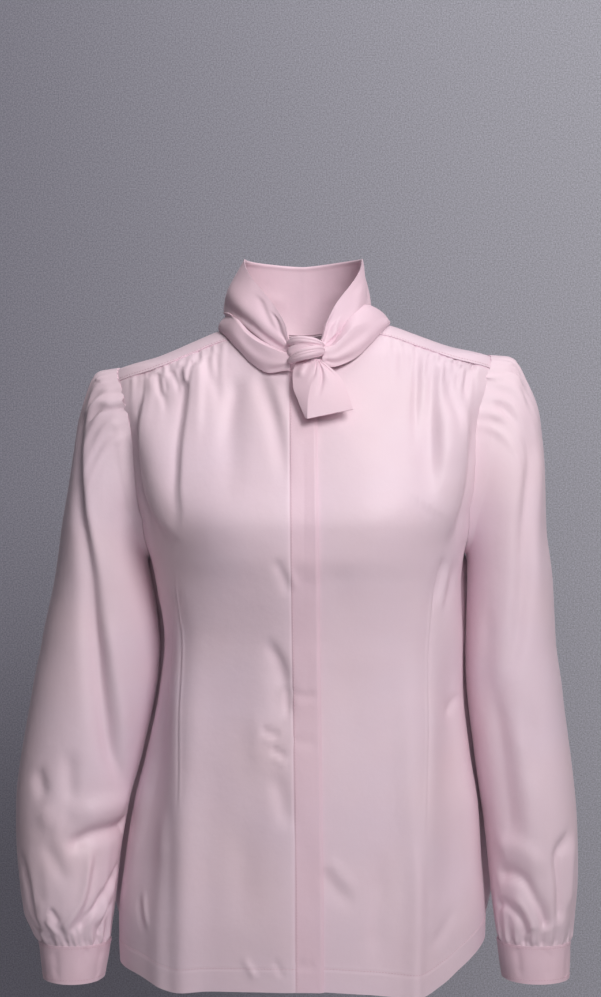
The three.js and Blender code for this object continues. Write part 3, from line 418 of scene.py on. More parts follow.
def finishPiece(piece, slotName, *nodes):
    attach(piece, "root")
    if nodes:
        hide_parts(*nodes)
    return piece


def stitchRow(points, normals, pitch=3.0, length=2.2, radius=0.22):
    # one thread stitch after another along a line on the cloth
    steps = np.linalg.norm(np.diff(points, axis=0), axis=1)
    at = np.concatenate([[0], np.cumsum(steps)])
    starts = np.arange(0.4, at[-1] - length, pitch)
    share = np.array([0, 0.14, 0.5, 0.86, 1])
    girth = np.array([0.3, 1, 1.05, 1, 0.3]) * radius
    rise = np.array([-0.12, 0.1, 0.17, 0.1, -0.12])
    places = starts[:, None] + share * length
    centre = np.stack([np.interp(places, at, points[:, k]) for k in range(3)], axis=-1)
    out = np.stack([np.interp(places, at, normals[:, k]) for k in range(3)], axis=-1)
    out /= np.linalg.norm(out, axis=-1, keepdims=True)
    centre = centre + out * rise[:, None]
    along = centre[:, -1:] - centre[:, :1]
    beside = np.cross(np.broadcast_to(along, out.shape), out)
    beside /= np.linalg.norm(beside, axis=-1, keepdims=True)
    turn = np.arange(6) * math.pi / 3
    ringOut = out[:, :, None] * np.cos(turn)[:, None] + beside[:, :, None] * np.sin(turn)[:, None]
    return centre[:, :, None] + ringOut * girth[:, None, None]


def threadPiece(name, rowsOfStitches, material):
    rings = np.concatenate(rowsOfStitches)
    count = len(rings)
    index = np.arange(count * 30).reshape(count, 5, 6)
    nextOne = np.roll(index, -1, axis=2)
    sides = np.stack([index[:, :-1], nextOne[:, :-1], nextOne[:, 1:], index[:, 1:]], axis=-1).reshape(-1, 4)
    return meshObject(name, rings.reshape(-1, 3), sides, None, material)


print("helpers ready")


# ---- materials

class Wire:
    # a socket whose arithmetic adds Math nodes
    def __init__(self, maker, socket):
        self.maker, self.socket = maker, socket

    def maths(self, operation, *others):
        values = {i: v for i, v in enumerate((self,) + others)}
        return self.maker.node("ShaderNodeMath", {"operation": operation}, values)

    def __add__(self, other): return self.maths("ADD", other)
    def __sub__(self, other): return self.maths("SUBTRACT", other)
    def __mul__(self, other): return self.maths("MULTIPLY", other)
    def __pow__(self, other): return self.maths("POWER", other)
    def __rsub__(self, other): return self * -1 + other
    __radd__, __rmul__ = __add__, __mul__


class Finish:
    # one material and the nodes that make it
    def __init__(self, name):
        self.material = bpy.data.materials.new(name)
        self.material.use_nodes = True
        self.tree = self.material.node_tree
        self.tree.nodes.clear()

    def node(self, kind, settings=None, values=None, output=0):
        made = self.tree.nodes.new(kind)
        for key, value in (settings or {}).items():
            if key == "stops":
                for i, (place, colour) in enumerate(value):
                    stop = made.color_ramp.elements[i] if i < 2 else made.color_ramp.elements.new(place)
                    stop.position, stop.color = place, colour
            else:
                setattr(made, key, value)
        for key, value in (values or {}).items():
            if isinstance(value, Wire):
                self.tree.links.new(value.socket, made.inputs[key])
            else:
                made.inputs[key].default_value = value
        return Wire(self, made.outputs[output])

    def noise(self, place, scale, detail=2, roughness=0.5):
        return self.node("ShaderNodeTexNoise", {}, {"Vector": place, "Scale": scale, "Detail": detail,
                                                    "Roughness": roughness})

    def stretched(self, place, scale):
        return self.node("ShaderNodeVectorMath", {"operation": "MULTIPLY"}, {0: place, 1: scale})

    def blend(self, a, b, factor, kind="MIX"):
        return self.node("ShaderNodeMix", {"data_type": "RGBA", "blend_type": kind},
                         {0: factor, 6: a, 7: b}, output=2)

    def finish(self, values):
        shader = self.node("ShaderNodeBsdfPrincipled", {}, values)
        end = self.tree.nodes.new("ShaderNodeOutputMaterial")
        self.tree.links.new(shader.socket, end.inputs["Surface"])
        return self.material


def fromScreen(red, green, blue):
    # a screen colour, 0 to 255, as the shader wants it
    def part(v):
        v = v / 255
        return v / 12.92 if v <= 0.04045 else ((v + 0.055) / 1.055) ** 2.4
    return (part(red), part(green), part(blue), 1.0)


clothFinish = {
    "blouse": {"colour": (237, 212, 221), "deep": (228, 193, 205), "lilac": (229, 208, 223),
               "rough": 0.50, "sheen": 0.28, "grain": 0.10, "weave": 0.45},
    "doubled": {"colour": (237, 206, 217), "deep": (227, 185, 199), "lilac": (231, 204, 219),
                "rough": 0.52, "sheen": 0.24, "grain": 0.08, "weave": 0.40},
}


def makeCrepe(name, look):
    f = Finish(name)
    uv = f.node("ShaderNodeTexCoord", {}, {}, output="UV")
    place = f.node("ShaderNodeTexCoord", {}, {}, output="Object")
    # uneven twisted threads both ways, about a third of a millimetre apart
    warp = f.noise(f.stretched(uv, (3000, 420, 1)), 1.0, 1.5)
    weft = f.noise(f.stretched(uv, (520, 2600, 1)), 1.0, 1.5)
    slub = f.noise(f.stretched(uv, (60, 900, 1)), 1.0, 3, 0.6)
    pebble = f.noise(uv, 900, 3, 0.6)
    weave = warp * 0.5 + weft * 0.4 + pebble * 0.6 + slub * 0.25
    broad = f.noise(place, 9, 2)
    clouds = f.noise(place, 34, 3)
    tone = f.blend(fromScreen(*look["colour"]), fromScreen(*look["lilac"]),
                   (broad * 1.6 - 0.45).maths("MINIMUM", 1.0).maths("MAXIMUM", 0.0))
    fine = ((weave - 0.87) * look["grain"] * 4 + (clouds - 0.5) * 0.25 + 0.12)
    fine = fine.maths("MINIMUM", 1.0).maths("MAXIMUM", 0.0)
    colour = f.blend(tone, fromScreen(*look["deep"]), fine)
    rough = (clouds - 0.5) * 0.10 + (weave - 0.87) * 0.12 + look["rough"]
    bumpFine = f.node("ShaderNodeBump", {}, {"Strength": look["weave"], "Distance": 0.00012, "Height": weave})
    relief = f.noise(place, 55, 3, 0.55)
    bump = f.node("ShaderNodeBump", {}, {"Strength": 0.25, "Distance": 0.0016, "Height": relief,
                                         "Normal": bumpFine})
    return f.finish({"Base Color": colour, "Roughness": rough, "Normal": bump, "Sheen Weight": look["sheen"],
                     "Sheen Roughness": 0.35, "Sheen Tint": (1.0, 0.86, 0.92, 1), "Specular IOR Level": 0.42})


blouseCloth = makeCrepe("crepe_blouse", clothFinish["blouse"])
doubledCloth = makeCrepe("crepe_doubled", clothFinish["doubled"])


def makeThread():
    f = Finish("thread_pink")
    place = f.node("ShaderNodeTexCoord", {}, {}, output="Object")
    twist = f.noise(f.stretched(place, (2200, 2200, 700)), 1.0, 2)
    colour = f.blend(fromScreen(232, 196, 208), fromScreen(206, 160, 176), twist)
    bump = f.node("ShaderNodeBump", {}, {"Strength": 0.5, "Distance": 0.0001, "Height": twist})
    return f.finish({"Base Color": colour, "Roughness": twist * 0.2 + 0.45, "Normal": bump, "Sheen Weight": 0.3})


def makePearl():
    f = Finish("button_pearl")
    place = f.node("ShaderNodeTexCoord", {}, {}, output="Object")
    swirl = f.noise(f.stretched(place, (160, 160, 420)), 1.0, 4, 0.6)
    colour = f.node("ShaderNodeValToRGB", {"stops": [(0.3, fromScreen(238, 214, 222)),
                                                     (0.7, fromScreen(250, 236, 238))]}, {0: swirl})
    bump = f.node("ShaderNodeBump", {}, {"Strength": 0.15, "Distance": 0.0002, "Height": swirl})
    return f.finish({"Base Color": colour, "Roughness": swirl * 0.12 + 0.16, "Normal": bump,
                     "Coat Weight": 0.4})


thread = makeThread()
pearl = makePearl()
print("materials ready")


# ---- fronts

fronts = {
    "columns": 150, "placketHalf": 14, "placketLift": 4.1, "riseWidth": 34, "tuck": 3.0, "topTuck": 2.5,
    "cupAcross": 80, "cupZ": -186, "cupWide": 52, "cupTall": 62, "cupDepth": 10,
    "stillEdge": 2, "freeEdge": 17, "sinkReach": 11, "freeSeam": 14, "hemBand": 24, "hemStep": 0.45,
    "gatherPitch": 11, "gatherReach": 32, "gatherHeight": 2.2, "gatherFrom": 70, "gatherTo": 180, "gatherFade": 13,
}

# rows: path, width left, width right, height (minus sinks in), fade at each end
frontBroad = [
    (bend(-66, -30, -68, -110, -72, -190), 12, 12, -3, 0.2, 0.5),
    (bend(-150, -70, -146, -130, -124, -178), 17, 17, 3, 0.3, 0.25),
    (bend(-172, -90, -166, -160, -138, -226), 14, 14, -6, 0.35, 0.3),
    (bend(-112, -262, -117, -430, -123, -660), 20, 20, 8, 0.3, 0),
    (bend(-150, -300, -150, -430, -158, -600), 20, 20, -6, 0.3, 0.3),
    (bend(152, -70, 150, -130, 132, -180), 17, 17, 3, 0.3, 0.25),
    (bend(174, -95, 170, -160, 146, -226), 14, 14, -6, 0.35, 0.3),
    (bend(118, -300, 112, -440, 106, -665), 20, 20, 7, 0.3, 0),
    (bend(146, -290, 150, -430, 152, -600), 20, 20, -5, 0.3, 0.3),
    (bend(-34, -300, -20, -350, -16, -400), 12, 12, -3, 0.4, 0.4),
]
frontLedges = [
    ([(-162, -52), (-161.6, -85), (-160.6, -135), (-157, -154), (-152, -168), (-140, -187), (-124, -202),
      (-108, -215)], 1, 4.5, 8.0, 34, 0.2, 0.3),
    ([(167, -60), (162.6, -89), (160.6, -125), (159.7, -151), (150, -190), (140, -205), (124, -217)],
     -1, 6, 6.0, 30, 0.3, 0.3),
    (bend(-129, -232, -124, -330, -128, -470), 1, 12, 5.0, 40, 0.25, 0.4),
]
# sharper edges of gathered folds, the side towards the left arm standing out
gatherLedges = [
    ([(-122.8, -30), (-119.9, -46), (-115.9, -54), (-117.5, -79), (-120.4, -113), (-119.4, -150), (-116.5, -179),
      (-119.4, -205)], 1, 4, 3.8, 24, 0.04, 0.4),
    ([(133, -32), (128.4, -57), (127.5, -90), (125.6, -131), (122, -176)], 1, 3.5, 2.8, 14, 0.06, 0.4),
    ([(114, -22), (111, -40), (109, -62)], 1, 3, 1.6, 12, 0.05, 0.6),
]
frontFine = [
    # gathers let into the right yoke seam, each with its own length
    ([(-122.8, -30), (-119.9, -46), (-114.9, -54), (-116.5, -79), (-119.4, -113), (-118.4, -150), (-115.5, -179),
      (-120.4, -211)], 3, 8, -2.2, 0.02, 0.45),
    ([(-111, -27), (-113.5, -42), (-115, -55)], 3, 2.5, -2.2, 0.02, 0.4),
    ([(-161.5, -34), (-161.6, -51), (-161.6, -75), (-161, -105)], 3, 4, -2.2, 0.02, 0.5),
    ([(-147, -38), (-143, -56), (-137.5, -66), (-132.5, -83)], 4, 3, -2.2, 0.02, 0.5),
    ([(-132.5, -36), (-126, -50), (-124, -64)], 3, 3, -1.8, 0.02, 0.5),
    ([(-139.5, -40), (-137, -52), (-136, -62)], 2.5, 2.5, -1.2, 0.02, 0.5),
    ([(-99, -22), (-93, -41), (-85, -60), (-80, -84)], 6, 5, -2.0, 0.05, 0.6),
    ([(-104, -26), (-103, -44), (-103, -70), (-104, -120)], 5, 8, 1.8, 0.05, 0.6),
    ([(-88, -20), (-86, -34), (-84, -52)], 3, 3, -1.1, 0.02, 0.6),
    ([(-63, -45), (-70, -66), (-75, -99), (-80, -140)], 9, 9, -2.6, 0.2, 0.6),
    ([(-46, -38), (-36, -67), (-28, -94), (-19.6, -139), (-17, -170)], 7, 9, -3.8, 0.12, 0.55),
    ([(-30, -50), (-24, -70), (-18, -100)], 6, 5, 1.6, 0.3, 0.5),
    # gathers of the left yoke seam
    ([(115.5, -22), (112, -44), (109, -88), (107, -128)], 4, 5, -3.0, 0.02, 0.5),
    ([(135, -31), (129.4, -59), (128, -102), (126.4, -146), (120.7, -188)], 3, 7, -1.8, 0.05, 0.5),
    ([(118, -60), (118, -120), (114, -190)], 8, 11, -2.6, 0.3, 0.5),
    ([(147, -34), (143.7, -66), (148, -88), (149, -118)], 5, 5, -2.6, 0.03, 0.5),
    ([(170, -38), (161.4, -59), (158, -84)], 4, 4, -2.4, 0.03, 0.5),
    ([(124, -28), (122, -42), (120, -60)], 3, 3, -1.5, 0.02, 0.6),
    ([(141, -36), (140, -50), (138, -64)], 3, 3, -1.4, 0.02, 0.6),
    ([(157, -40), (153, -54), (151, -70)], 3, 3, -1.7, 0.02, 0.6),
    ([(104, -22), (103, -34), (101, -56)], 4, 4, -1.2, 0.02, 0.6),
    ([(92, -18), (90, -34), (88, -60)], 5, 5, -1.0, 0.05, 0.6),
    ([(139, -66), (138, -110), (137, -160)], 8, 8, 1.8, 0.3, 0.4),
    # slack cloth beside the placket
    ([(-31, -223), (-19, -240), (-14, -262)], 5, 5, -2.4, 0.3, 0.35),
    ([(-22, -228), (-14, -240), (-9, -256)], 5, 5, 1.4, 0.3, 0.35),
    ([(-40, -300), (-29, -314), (-21, -331), (-17, -352)], 5, 7, -3.0, 0.35, 0.25),
    ([(-17, -346), (-16, -360), (-16, -380)], 4, 4, -2.4, 0.2, 0.4),
    ([(-44, -387), (-33, -392.5), (-21, -395)], 3.4, 4.6, -1.8, 0.35, 0.3),
    ([(-41, -395), (-32, -400), (-22, -402)], 3.5, 3.5, 0.9, 0.35, 0.35),
    ([(-33, -405), (-25, -411), (-16, -417)], 3.4, 4.4, -1.9, 0.3, 0.3),
    ([(-30, -413), (-23, -419), (-15, -424)], 3.5, 3.5, 1.0, 0.35, 0.3),
    ([(-28, -427), (-21, -459), (-15, -490)], 9, 8, -2.6, 0.3, 0.4),
    ([(-48, -360), (-44, -400), (-43, -440)], 12, 10, 1.6, 0.4, 0.4),
    ([(-60, -604), (-52, -618), (-45, -630)], 3, 4, 1.3, 0.35, 0.3),
    ([(-30, -606), (-24, -618), (-21, -628)], 3, 3, -1.0, 0.3, 0.3),
    ([(-62, -470), (-58, -530), (-60, -590)], 16, 14, -1.8, 0.4, 0.4),
    # right side panel
    ([(-127, -440), (-127.5, -556), (-127, -665)], 9, 8, -2.0, 0.4, 0),
    ([(-141, -470), (-142, -560), (-142, -665)], 8, 10, 1.8, 0.35, 0),
    ([(-160, -552), (-157, -570), (-151, -590)], 2.6, 3.2, 1.7, 0.3, 0.3),
    ([(-165, -556), (-162, -574), (-156, -592)], 3, 3.5, -1.3, 0.3, 0.3),
    ([(-138, -470), (-139, -505), (-138, -530)], 8, 8, 1.9, 0.4, 0.4),
    ([(-140, -250), (-134, -300), (-132, -350)], 9, 9, -2.4, 0.35, 0.35),
    ([(-152, -330), (-140, -352), (-128, -368)], 6, 6, -1.6, 0.3, 0.4),
    # left front
    ([(16, -522), (31, -543), (54, -566)], 6, 8, -1.5, 0.15, 0.5),
    ([(22, -512), (38, -532), (58, -550)], 6, 6, 1.2, 0.2, 0.5),
    ([(106, -480), (107, -575), (104, -665)], 7, 8, 3.4, 0.35, 0),
    ([(98, -300), (98, -400), (100.6, -508)], 12, 10, 1.8, 0.4, 0.3),
    ([(74, -505), (71.5, -556), (66, -620)], 9, 9, -2.2, 0.35, 0.3),
    ([(137, -223), (132, -247), (128, -276)], 4, 6, -2.4, 0.25, 0.4),
    ([(149, -226), (143, -256), (137, -286)], 5, 5, -1.8, 0.3, 0.4),
    ([(143, -232), (138, -256), (133, -280)], 3.5, 3.5, 1.3, 0.3, 0.4),
    ([(156, -362), (148, -374), (141, -386)], 4, 5, -1.8, 0.2, 0.4),
    ([(40, -300), (46, -380), (44, -450)], 18, 18, -1.5, 0.4, 0.4),
    ([(150, -566), (132, -592), (112, -604)], 6, 7, -1.2, 0.3, 0.4),
    ([(30, -225), (34, -262), (30, -300)], 14, 14, -1.2, 0.3, 0.5),
]
# short puckers along the yoke seams, rows: x, slant, length, width, depth
seamPuckers = [
    (-156, 1, 10, 2.4, -1.1), (-152, 2, 20, 3.0, -1.6), (-143, 3, 14, 2.6, -1.3), (-136, 2, 24, 3.0, -1.5),
    (-127, -1, 12, 2.4, -1.2), (-106, 2, 18, 2.8, -1.5), (-100, 1, 11, 2.4, -1.2), (-94, 2, 16, 2.6, -1.3),
    (-88, 0, 9, 2.2, -0.9), (112, -2, 14, 2.6, -1.1), (120, -2, 20, 2.8, -1.3), (129, -2, 13, 2.4, -1.1),
    (137, -3, 18, 2.8, -1.3), (144, -1, 11, 2.4, -1.1), (152, -2, 20, 2.8, -1.4), (159, -2, 13, 2.6, -1.2),
    (165, -3, 22, 3.0, -1.5), (172, -2, 12, 2.6, -1.2),
    (-32, 3, 10, 2.6, -1.3), (-26, 3, 12, 2.4, -1.4), (-20, 2, 9, 2.4, -1.2),
]
for x, slant, length, width, depth in seamPuckers:
    top = float(frontTop(x)) + 1
    frontFine.append(([(x, top), (x + 0.6 * slant, top - 0.5 * length), (x + slant, top - length)],
                      width, width, depth, 0, 0.6))
# fish-eye waist darts: a sewn line with cloth drawn into it
dartLines = {
    "right": [(-125.2, -245), (-120.4, -277), (-115, -304), (-113.6, -348), (-116, -415), (-118.4, -474)],
    "left": [(132.5, -227), (125.8, -259), (121.9, -304), (119.5, -348), (117, -415), (114.1, -503)],
}
frontDarts = []
for outer, line in ((1, dartLines["right"]), (-1, dartLines["left"])):
    frontDarts += [
        ([(x - outer * 1.5, z) for x, z in line], 1.0, 1.0, -0.7, 0.06, 0.08),
        (line, 9 if outer > 0 else 5, 5 if outer > 0 else 9, -1.6, 0.2, 0.3),
        (line, 1.2, 1.2, 0.7, 0.08, 0.12),
    ]


def gatherWaves(place, pitch, distance, reach, height):
    uneven = place / pitch + 0.35 * np.sin(place / (2.7 * pitch)) + 0.2 * np.sin(place / (1.3 * pitch))
    rise = smoothStep(distance, 0, 5) * 0.75 + 0.25
    return height * rise * np.exp(-distance / reach) * np.cos(2 * np.pi * uneven)


def frontRelief(side, x, z):
    p = fronts
    cup = p["cupDepth"] * np.exp(-((np.abs(x) - p["cupAcross"]) / p["cupWide"]) ** 2
                                 - ((z - p["cupZ"]) / p["cupTall"]) ** 2)
    below = np.maximum(0, frontTop(x) - z)
    fromEdge = np.abs(panelEdge(np.where(x < 0, -1, 1), z, True)[..., 0] - x)
    held = smoothStep(fromEdge, p["stillEdge"], p["freeEdge"])
    broad = (cup + foldSum(x, z, frontBroad) + ledgeSum(x, z, frontLedges)) * smoothStep(below, 0, p["freeSeam"])
    across = np.abs(x)
    seamShare = (smoothStep(across, p["gatherFrom"], p["gatherFrom"] + p["gatherFade"])
                 * (1 - smoothStep(across, p["gatherTo"] - p["gatherFade"], p["gatherTo"])))
    waves = 0.45 * gatherWaves(across + 3 * side, p["gatherPitch"], below, p["gatherReach"] * 0.6, p["gatherHeight"])
    fine = foldSum(x, z, frontFine) * smoothStep(fromEdge, 1, 12) + foldSum(x, z, frontDarts)
    fine = fine + ledgeSum(x, z, gatherLedges) * smoothStep(fromEdge, 1, 12)
    tuck = -1.0 * np.exp(-below / 1.2)
    return broad * held + fine + seamShare * waves + tuck - armSink(z) * np.exp(-(fromEdge / p["sinkReach"]) ** 2)


def hemRelief(toHem):
    # the turned-up hem is a doubled band with a sewn line along its top
    p = fronts
    band = p["hemStep"] * (1 - smoothStep(toHem, p["hemBand"] - 1.5, p["hemBand"] + 2.5))
    sewn = -0.5 * np.exp(-((toHem - p["hemBand"] + 1.5) / 1.3) ** 2)
    return band + sewn


def rowEdge(side, rowZ, isFront):
    drop = smoothStep(-rowZ, 470, -form["hemZ"])
    z = rowZ + drop * (hemAt(side * section(rowZ).half) - form["hemZ"])
    edge = panelEdge(side, z, isFront)
    s = section(z)
    depth = s.front if isFront else s.back
    angle = np.arccos(np.abs(edge[..., 1] / depth) ** (s.power / 2))
    return edge, z, drop, angle, s


def spreadOf(along, angle, power):
    return (np.sin(along * angle) / np.sin(angle)) ** (2 / power)


def frontGrid(side, along, rowZ, innerEdge, lift):
    edge, edgeZ, drop, angle, s = rowEdge(side, rowZ[:, None], True)
    along = along[None, :]
    topRow = -44
    rise = 1 - smoothStep(-rowZ[:, None], -topRow, 150)
    spread = spreadOf(along, angle, s.power)
    x = mix(innerEdge(edgeZ), edge[..., 0], spread)
    for _ in range(3):
        # near the yoke each point keeps to the armhole at its own height
        z = rowZ[:, None] + rise * (frontTop(x) - topRow + fronts["topTuck"] - 1) + drop * (hemAt(x) - form["hemZ"])
        end = panelEdge(side, np.where(rise > 0, z, edgeZ + 0 * x), True)
        x = mix(innerEdge(edgeZ), end[..., 0], spread)
    isEdge = along >= 1
    z = np.where(isEdge & (rise <= 0), edgeZ, z)
    y = np.where(isEdge, end[..., 1], depthAt(x, z, True))
    toHem = z - hemAt(x)
    hemFade = smoothStep(-rowZ[:, None], 560, 600)
    out = frontRelief(side, x, z) + lift(x, z) + hemRelief(toHem) * hemFade
    return lean(stack(x, y, z) + facing(x, y, z) * out[..., None])


def rowHeights(top, bottom, fineTop, fineBottom, fine, coarse):
    upper = np.arange(top, top - fineTop, -fine)
    lower = np.arange(bottom, bottom + fineBottom, fine)[::-1]
    middle = np.linspace(upper[-1], lower[0], int((upper[-1] - lower[0]) / coarse) + 2)[1:-1]
    return np.concatenate([upper, middle, lower])


frontRows = rowHeights(-44, form["hemZ"], 34, 30, 1.7, 3.9)


def rightLift(x, z):
    # the right front rises to the placket and goes in under its edge
    p = fronts
    edge = centreLine(z) - p["placketHalf"]
    rise = (p["placketLift"] + 0.1) * np.exp(-(np.minimum(0, x - edge) / p["riseWidth"]) ** 2)
    under = 1.8 * smoothStep(x, edge - 0.2, edge + 2.0)
    return rise - under


def makeFront(side):
    p = fronts
    if side < 0:
        def inner(z): return centreLine(z) - p["placketHalf"] + p["tuck"]
        lift = rightLift
    else:
        def inner(z): return centreLine(z) - p["placketHalf"] + 2.5
        def lift(x, z): return 0 * x
    along = np.linspace(0, 1, p["columns"] + 1) ** 0.96
    grid = frontGrid(side, along, frontRows, inner, lift)
    heart = grid * [0, 0, 1]
    name = "front_right" if side < 0 else "front_left"
    piece = clothShell(name + "_cloth", grid, form["cloth"], blouseCloth, heart)
    return finishPiece(piece, "blouse_cloth", name)


frontRight = makeFront(-1)
frontLeft = makeFront(1)
print("fronts ready")


# ---- placket: a doubled band over the hidden buttons, its free edge rolled down

placket = {"half": 14, "lift": 4.1, "columns": 44, "rows": 210, "roll": 1.9, "rollWidth": 4.2, "thick": 1.3}
placketFolds = [
    ([(-16, -352), (0, -357), (16, -355)], 4, 5, -0.9, 0.15, 0.3),
    ([(-14, -398), (2, -402), (14, -400)], 6, 6, -0.7, 0.2, 0.3),
    ([(-12, -232), (0, -248), (12, -262)], 9, 9, -0.6, 0.2, 0.3),
    ([(-10, -470), (2, -520), (8, -580)], 10, 10, -0.5, 0.3, 0.3),
    ([(8, -300), (12, -340), (10, -390)], 7, 7, 0.5, 0.3, 0.3),
    ([(-8, -608), (0, -614), (12, -612)], 5, 6, -0.5, 0.2, 0.3),
]


def frontSurface(x, z, height):
    y = depthAt(x, z, True)
    out = frontRelief(1, x, z) + height
    return lean(stack(x, y, z) + facing(x, y, z) * out[..., None])


def placketPoint(share, down):
    p = placket
    z0 = mix(frontTop(0), form["hemZ"], down)
    x = centreLine(z0) + share * p["half"]
    z = mix(frontTop(x) - 1.0, hemAt(x), down)
    fromFree = (1 - share) * p["half"]
    roll = -p["roll"] * (1 - smoothStep(fromFree, 0, p["rollWidth"])) ** 1.4
    roll = roll - 0.5 * (1 - smoothStep((1 + share) * p["half"], 0, 2.5))
    wobble = 0.35 * np.sin(z / 31) * np.exp(-(fromFree / 9) ** 2)
    fold = foldSum(x, z, placketFolds)
    return frontSurface(x, z, p["lift"] + roll + wobble + fold + hemRelief(z - hemAt(x)) * 0.6)


def makePlacket():
    p = placket
    down, share = np.meshgrid(np.linspace(0, 1, p["rows"]), np.linspace(-1, 1, p["columns"]), indexing="ij")
    grid = placketPoint(share, down)
    piece = clothShell("placket_band", grid, p["thick"], doubledCloth, grid * [0, 0, 1])
    return finishPiece(piece, "doubled_cloth", "placket")


placketBand = makePlacket()


# ---- back

backPiece = {
    "columns": 190, "pleatX": 34, "pleatWidth": 10, "pleatDepth": 4, "pleatLength": 190,
    "dartX": 74, "dartTop": -200, "dartBottom": -430, "dartWidth": 13, "dartDepth": -4,
    # a guess: slack near the sides that keeps the wall behind from showing between arm and body
    "slackY": 32, "slackWidth": 18, "slack": 16,
}
backFolds = [
    ([(-34, -98), (-35, -130), (-38, -175)], 2.2, 3.2, -2.2, 0.02, 0.5),
    ([(34, -98), (35, -132), (37, -180)], 3.2, 2.2, -2.2, 0.02, 0.5),
    ([(-148, -128), (-132, -170), (-104, -206)], 10, 14, -4.0, 0.2, 0.45),
    ([(146, -132), (130, -176), (100, -214)], 13, 10, -3.6, 0.2, 0.45),
    ([(-138, -112), (-120, -150), (-100, -180)], 9, 9, 2.4, 0.2, 0.5),
    ([(136, -116), (118, -156), (96, -188)], 9, 9, 2.2, 0.2, 0.5),
    ([(-92, -262), (-40, -276), (20, -270), (66, -262)], 9, 12, -3.0, 0.3, 0.35),
    ([(84, -286), (40, -300), (-24, -300), (-60, -292)], 10, 9, -2.6, 0.3, 0.4),
    ([(-70, -286), (-20, -290), (40, -286)], 8, 8, 2.2, 0.35, 0.35),
    ([(-50, -318), (4, -326), (52, -318)], 9, 12, -1.9, 0.35, 0.35),
    ([(-98, -420), (-104, -520), (-112, -640)], 14, 18, 4.4, 0.3, 0),
    ([(92, -410), (102, -520), (106, -640)], 18, 14, 4.2, 0.3, 0),
    ([(-58, -440), (-60, -540), (-64, -640)], 16, 16, -3.4, 0.35, 0),
    ([(52, -450), (58, -540), (58, -640)], 16, 18, -3.2, 0.35, 0),
    ([(2, -400), (-4, -520), (-6, -640)], 20, 20, 2.4, 0.35, 0),
    ([(-150, -300), (-152, -400), (-160, -520)], 12, 12, -2.6, 0.3, 0.4),
    ([(156, -300), (156, -400), (160, -520)], 12, 12, -2.4, 0.3, 0.4),
]
backDartLines = [[(side * 78, -212), (side * 75, -270), (side * 73, -320), (side * 75, -380), (side * 79, -432)]
                 for side in (-1, 1)]
for line in backDartLines:
    backFolds += [(line, 0.9, 0.9, -1.1, 0.06, 0.08), (line, 6, 6, -1.2, 0.2, 0.25)]


def backRelief(x, z):
    p = backPiece
    below = form["backYokeZ"] - z
    pleat = (np.abs(x) - p["pleatX"] - 0.05 * below) / p["pleatWidth"]
    pleatFade = np.exp(-np.maximum(below, 0) / p["pleatLength"]) * (1 - smoothStep(below, 300, 420))
    dart = (np.abs(x) - p["dartX"]) / p["dartWidth"]
    dartFade = (smoothStep(z, p["dartBottom"], p["dartBottom"] + 90)
                * (1 - smoothStep(z, p["dartTop"] - 90, p["dartTop"])))
    fromEdge = np.abs(panelEdge(np.where(x < 0, -1, 1), z, False)[..., 0] - x)
    fine = foldSum(x, z, backFolds) * smoothStep(fromEdge, 1, 18)
    y = depthAt(x, z, False)
    slack = p["slack"] * np.exp(-((y - p["slackY"]) / p["slackWidth"]) ** 2) * smoothStep(y, 1, 14)
    fine = fine + slack * smoothStep(z, -620, -560) * (1 - smoothStep(z, -238, -212))
    return (p["pleatDepth"] * np.exp(-pleat ** 2) * pleatFade * smoothStep(below, 0, 25)
            + p["dartDepth"] * np.exp(-dart ** 2) * dartFade + fine - 1.4 * np.exp(-np.maximum(below, 0) / 1.8))


def backGrid(share, rowZ):
    grids = []
    for side in (-1, 1):
        part = share[share < 0] if side < 0 else share[share >= 0]
        edge, edgeZ, drop, angle, s = rowEdge(side, rowZ[:, None], False)
        x = mix(s.shift, edge[..., 0], spreadOf(np.abs(part)[None, :], angle, s.power))
        isEdge = np.abs(part)[None, :] >= 1
        tuck = 2.5 * (1 - smoothStep(form["backYokeZ"] - rowZ[:, None], 0, 40))
        z = np.where(isEdge, edgeZ, rowZ[:, None] + drop * (hemAt(x) - form["hemZ"])) + tuck
        y = np.where(isEdge, edge[..., 1], depthAt(x, z, False))
        hem = hemRelief(z - hemAt(x)) * smoothStep(-rowZ[:, None], 560, 600)
        out = backRelief(x, z) + hem
        grids.append(stack(x, y, z) + facing(x, y, z) * out[..., None])
    return lean(np.concatenate(grids, axis=1))


def makeBack():
    p = backPiece
    rows = rowHeights(form["backYokeZ"], form["hemZ"], 24, 30, 1.8, 4.2)
    share = np.linspace(-1, 1, p["columns"] + 1)
    grid = backGrid(share, rows)
    piece = clothShell("back_cloth", grid, form["cloth"], blouseCloth, grid * [0, 0, 1])
    return finishPiece(piece, "blouse_cloth", "back")


backCloth = makeBack()
print("back ready")


# ---- yoke: doubled cloth over the shoulders, laid over the gathered edges

yoke = {"lines": 300, "strips": 64, "armShare": 24 / 44, "foldAround": 400, "foldOut": 130, "thick": 1.5}
yokeFolds = [
    # share round the piece (0 right front, 0.5 back, 1 left front) x foldAround, share outwards x foldOut
    ([(60, 20), (66, 60), (60, 112)], 7, 9, -0.9, 0.3, 0.3),
    ([(338, 18), (334, 62), (342, 112)], 9, 7, -0.8, 0.3, 0.3),
    ([(120, 30), (150, 60), (190, 74)], 9, 9, -0.9, 0.3, 0.4),
    ([(282, 32), (250, 62), (212, 78)], 9, 9, -0.8, 0.3, 0.4),
    ([(24, 90), (32, 112), (30, 128)], 5, 5, -0.8, 0.3, 0.2),
    ([(376, 92), (368, 112), (370, 128)], 5, 5, -0.8, 0.3, 0.2),
]


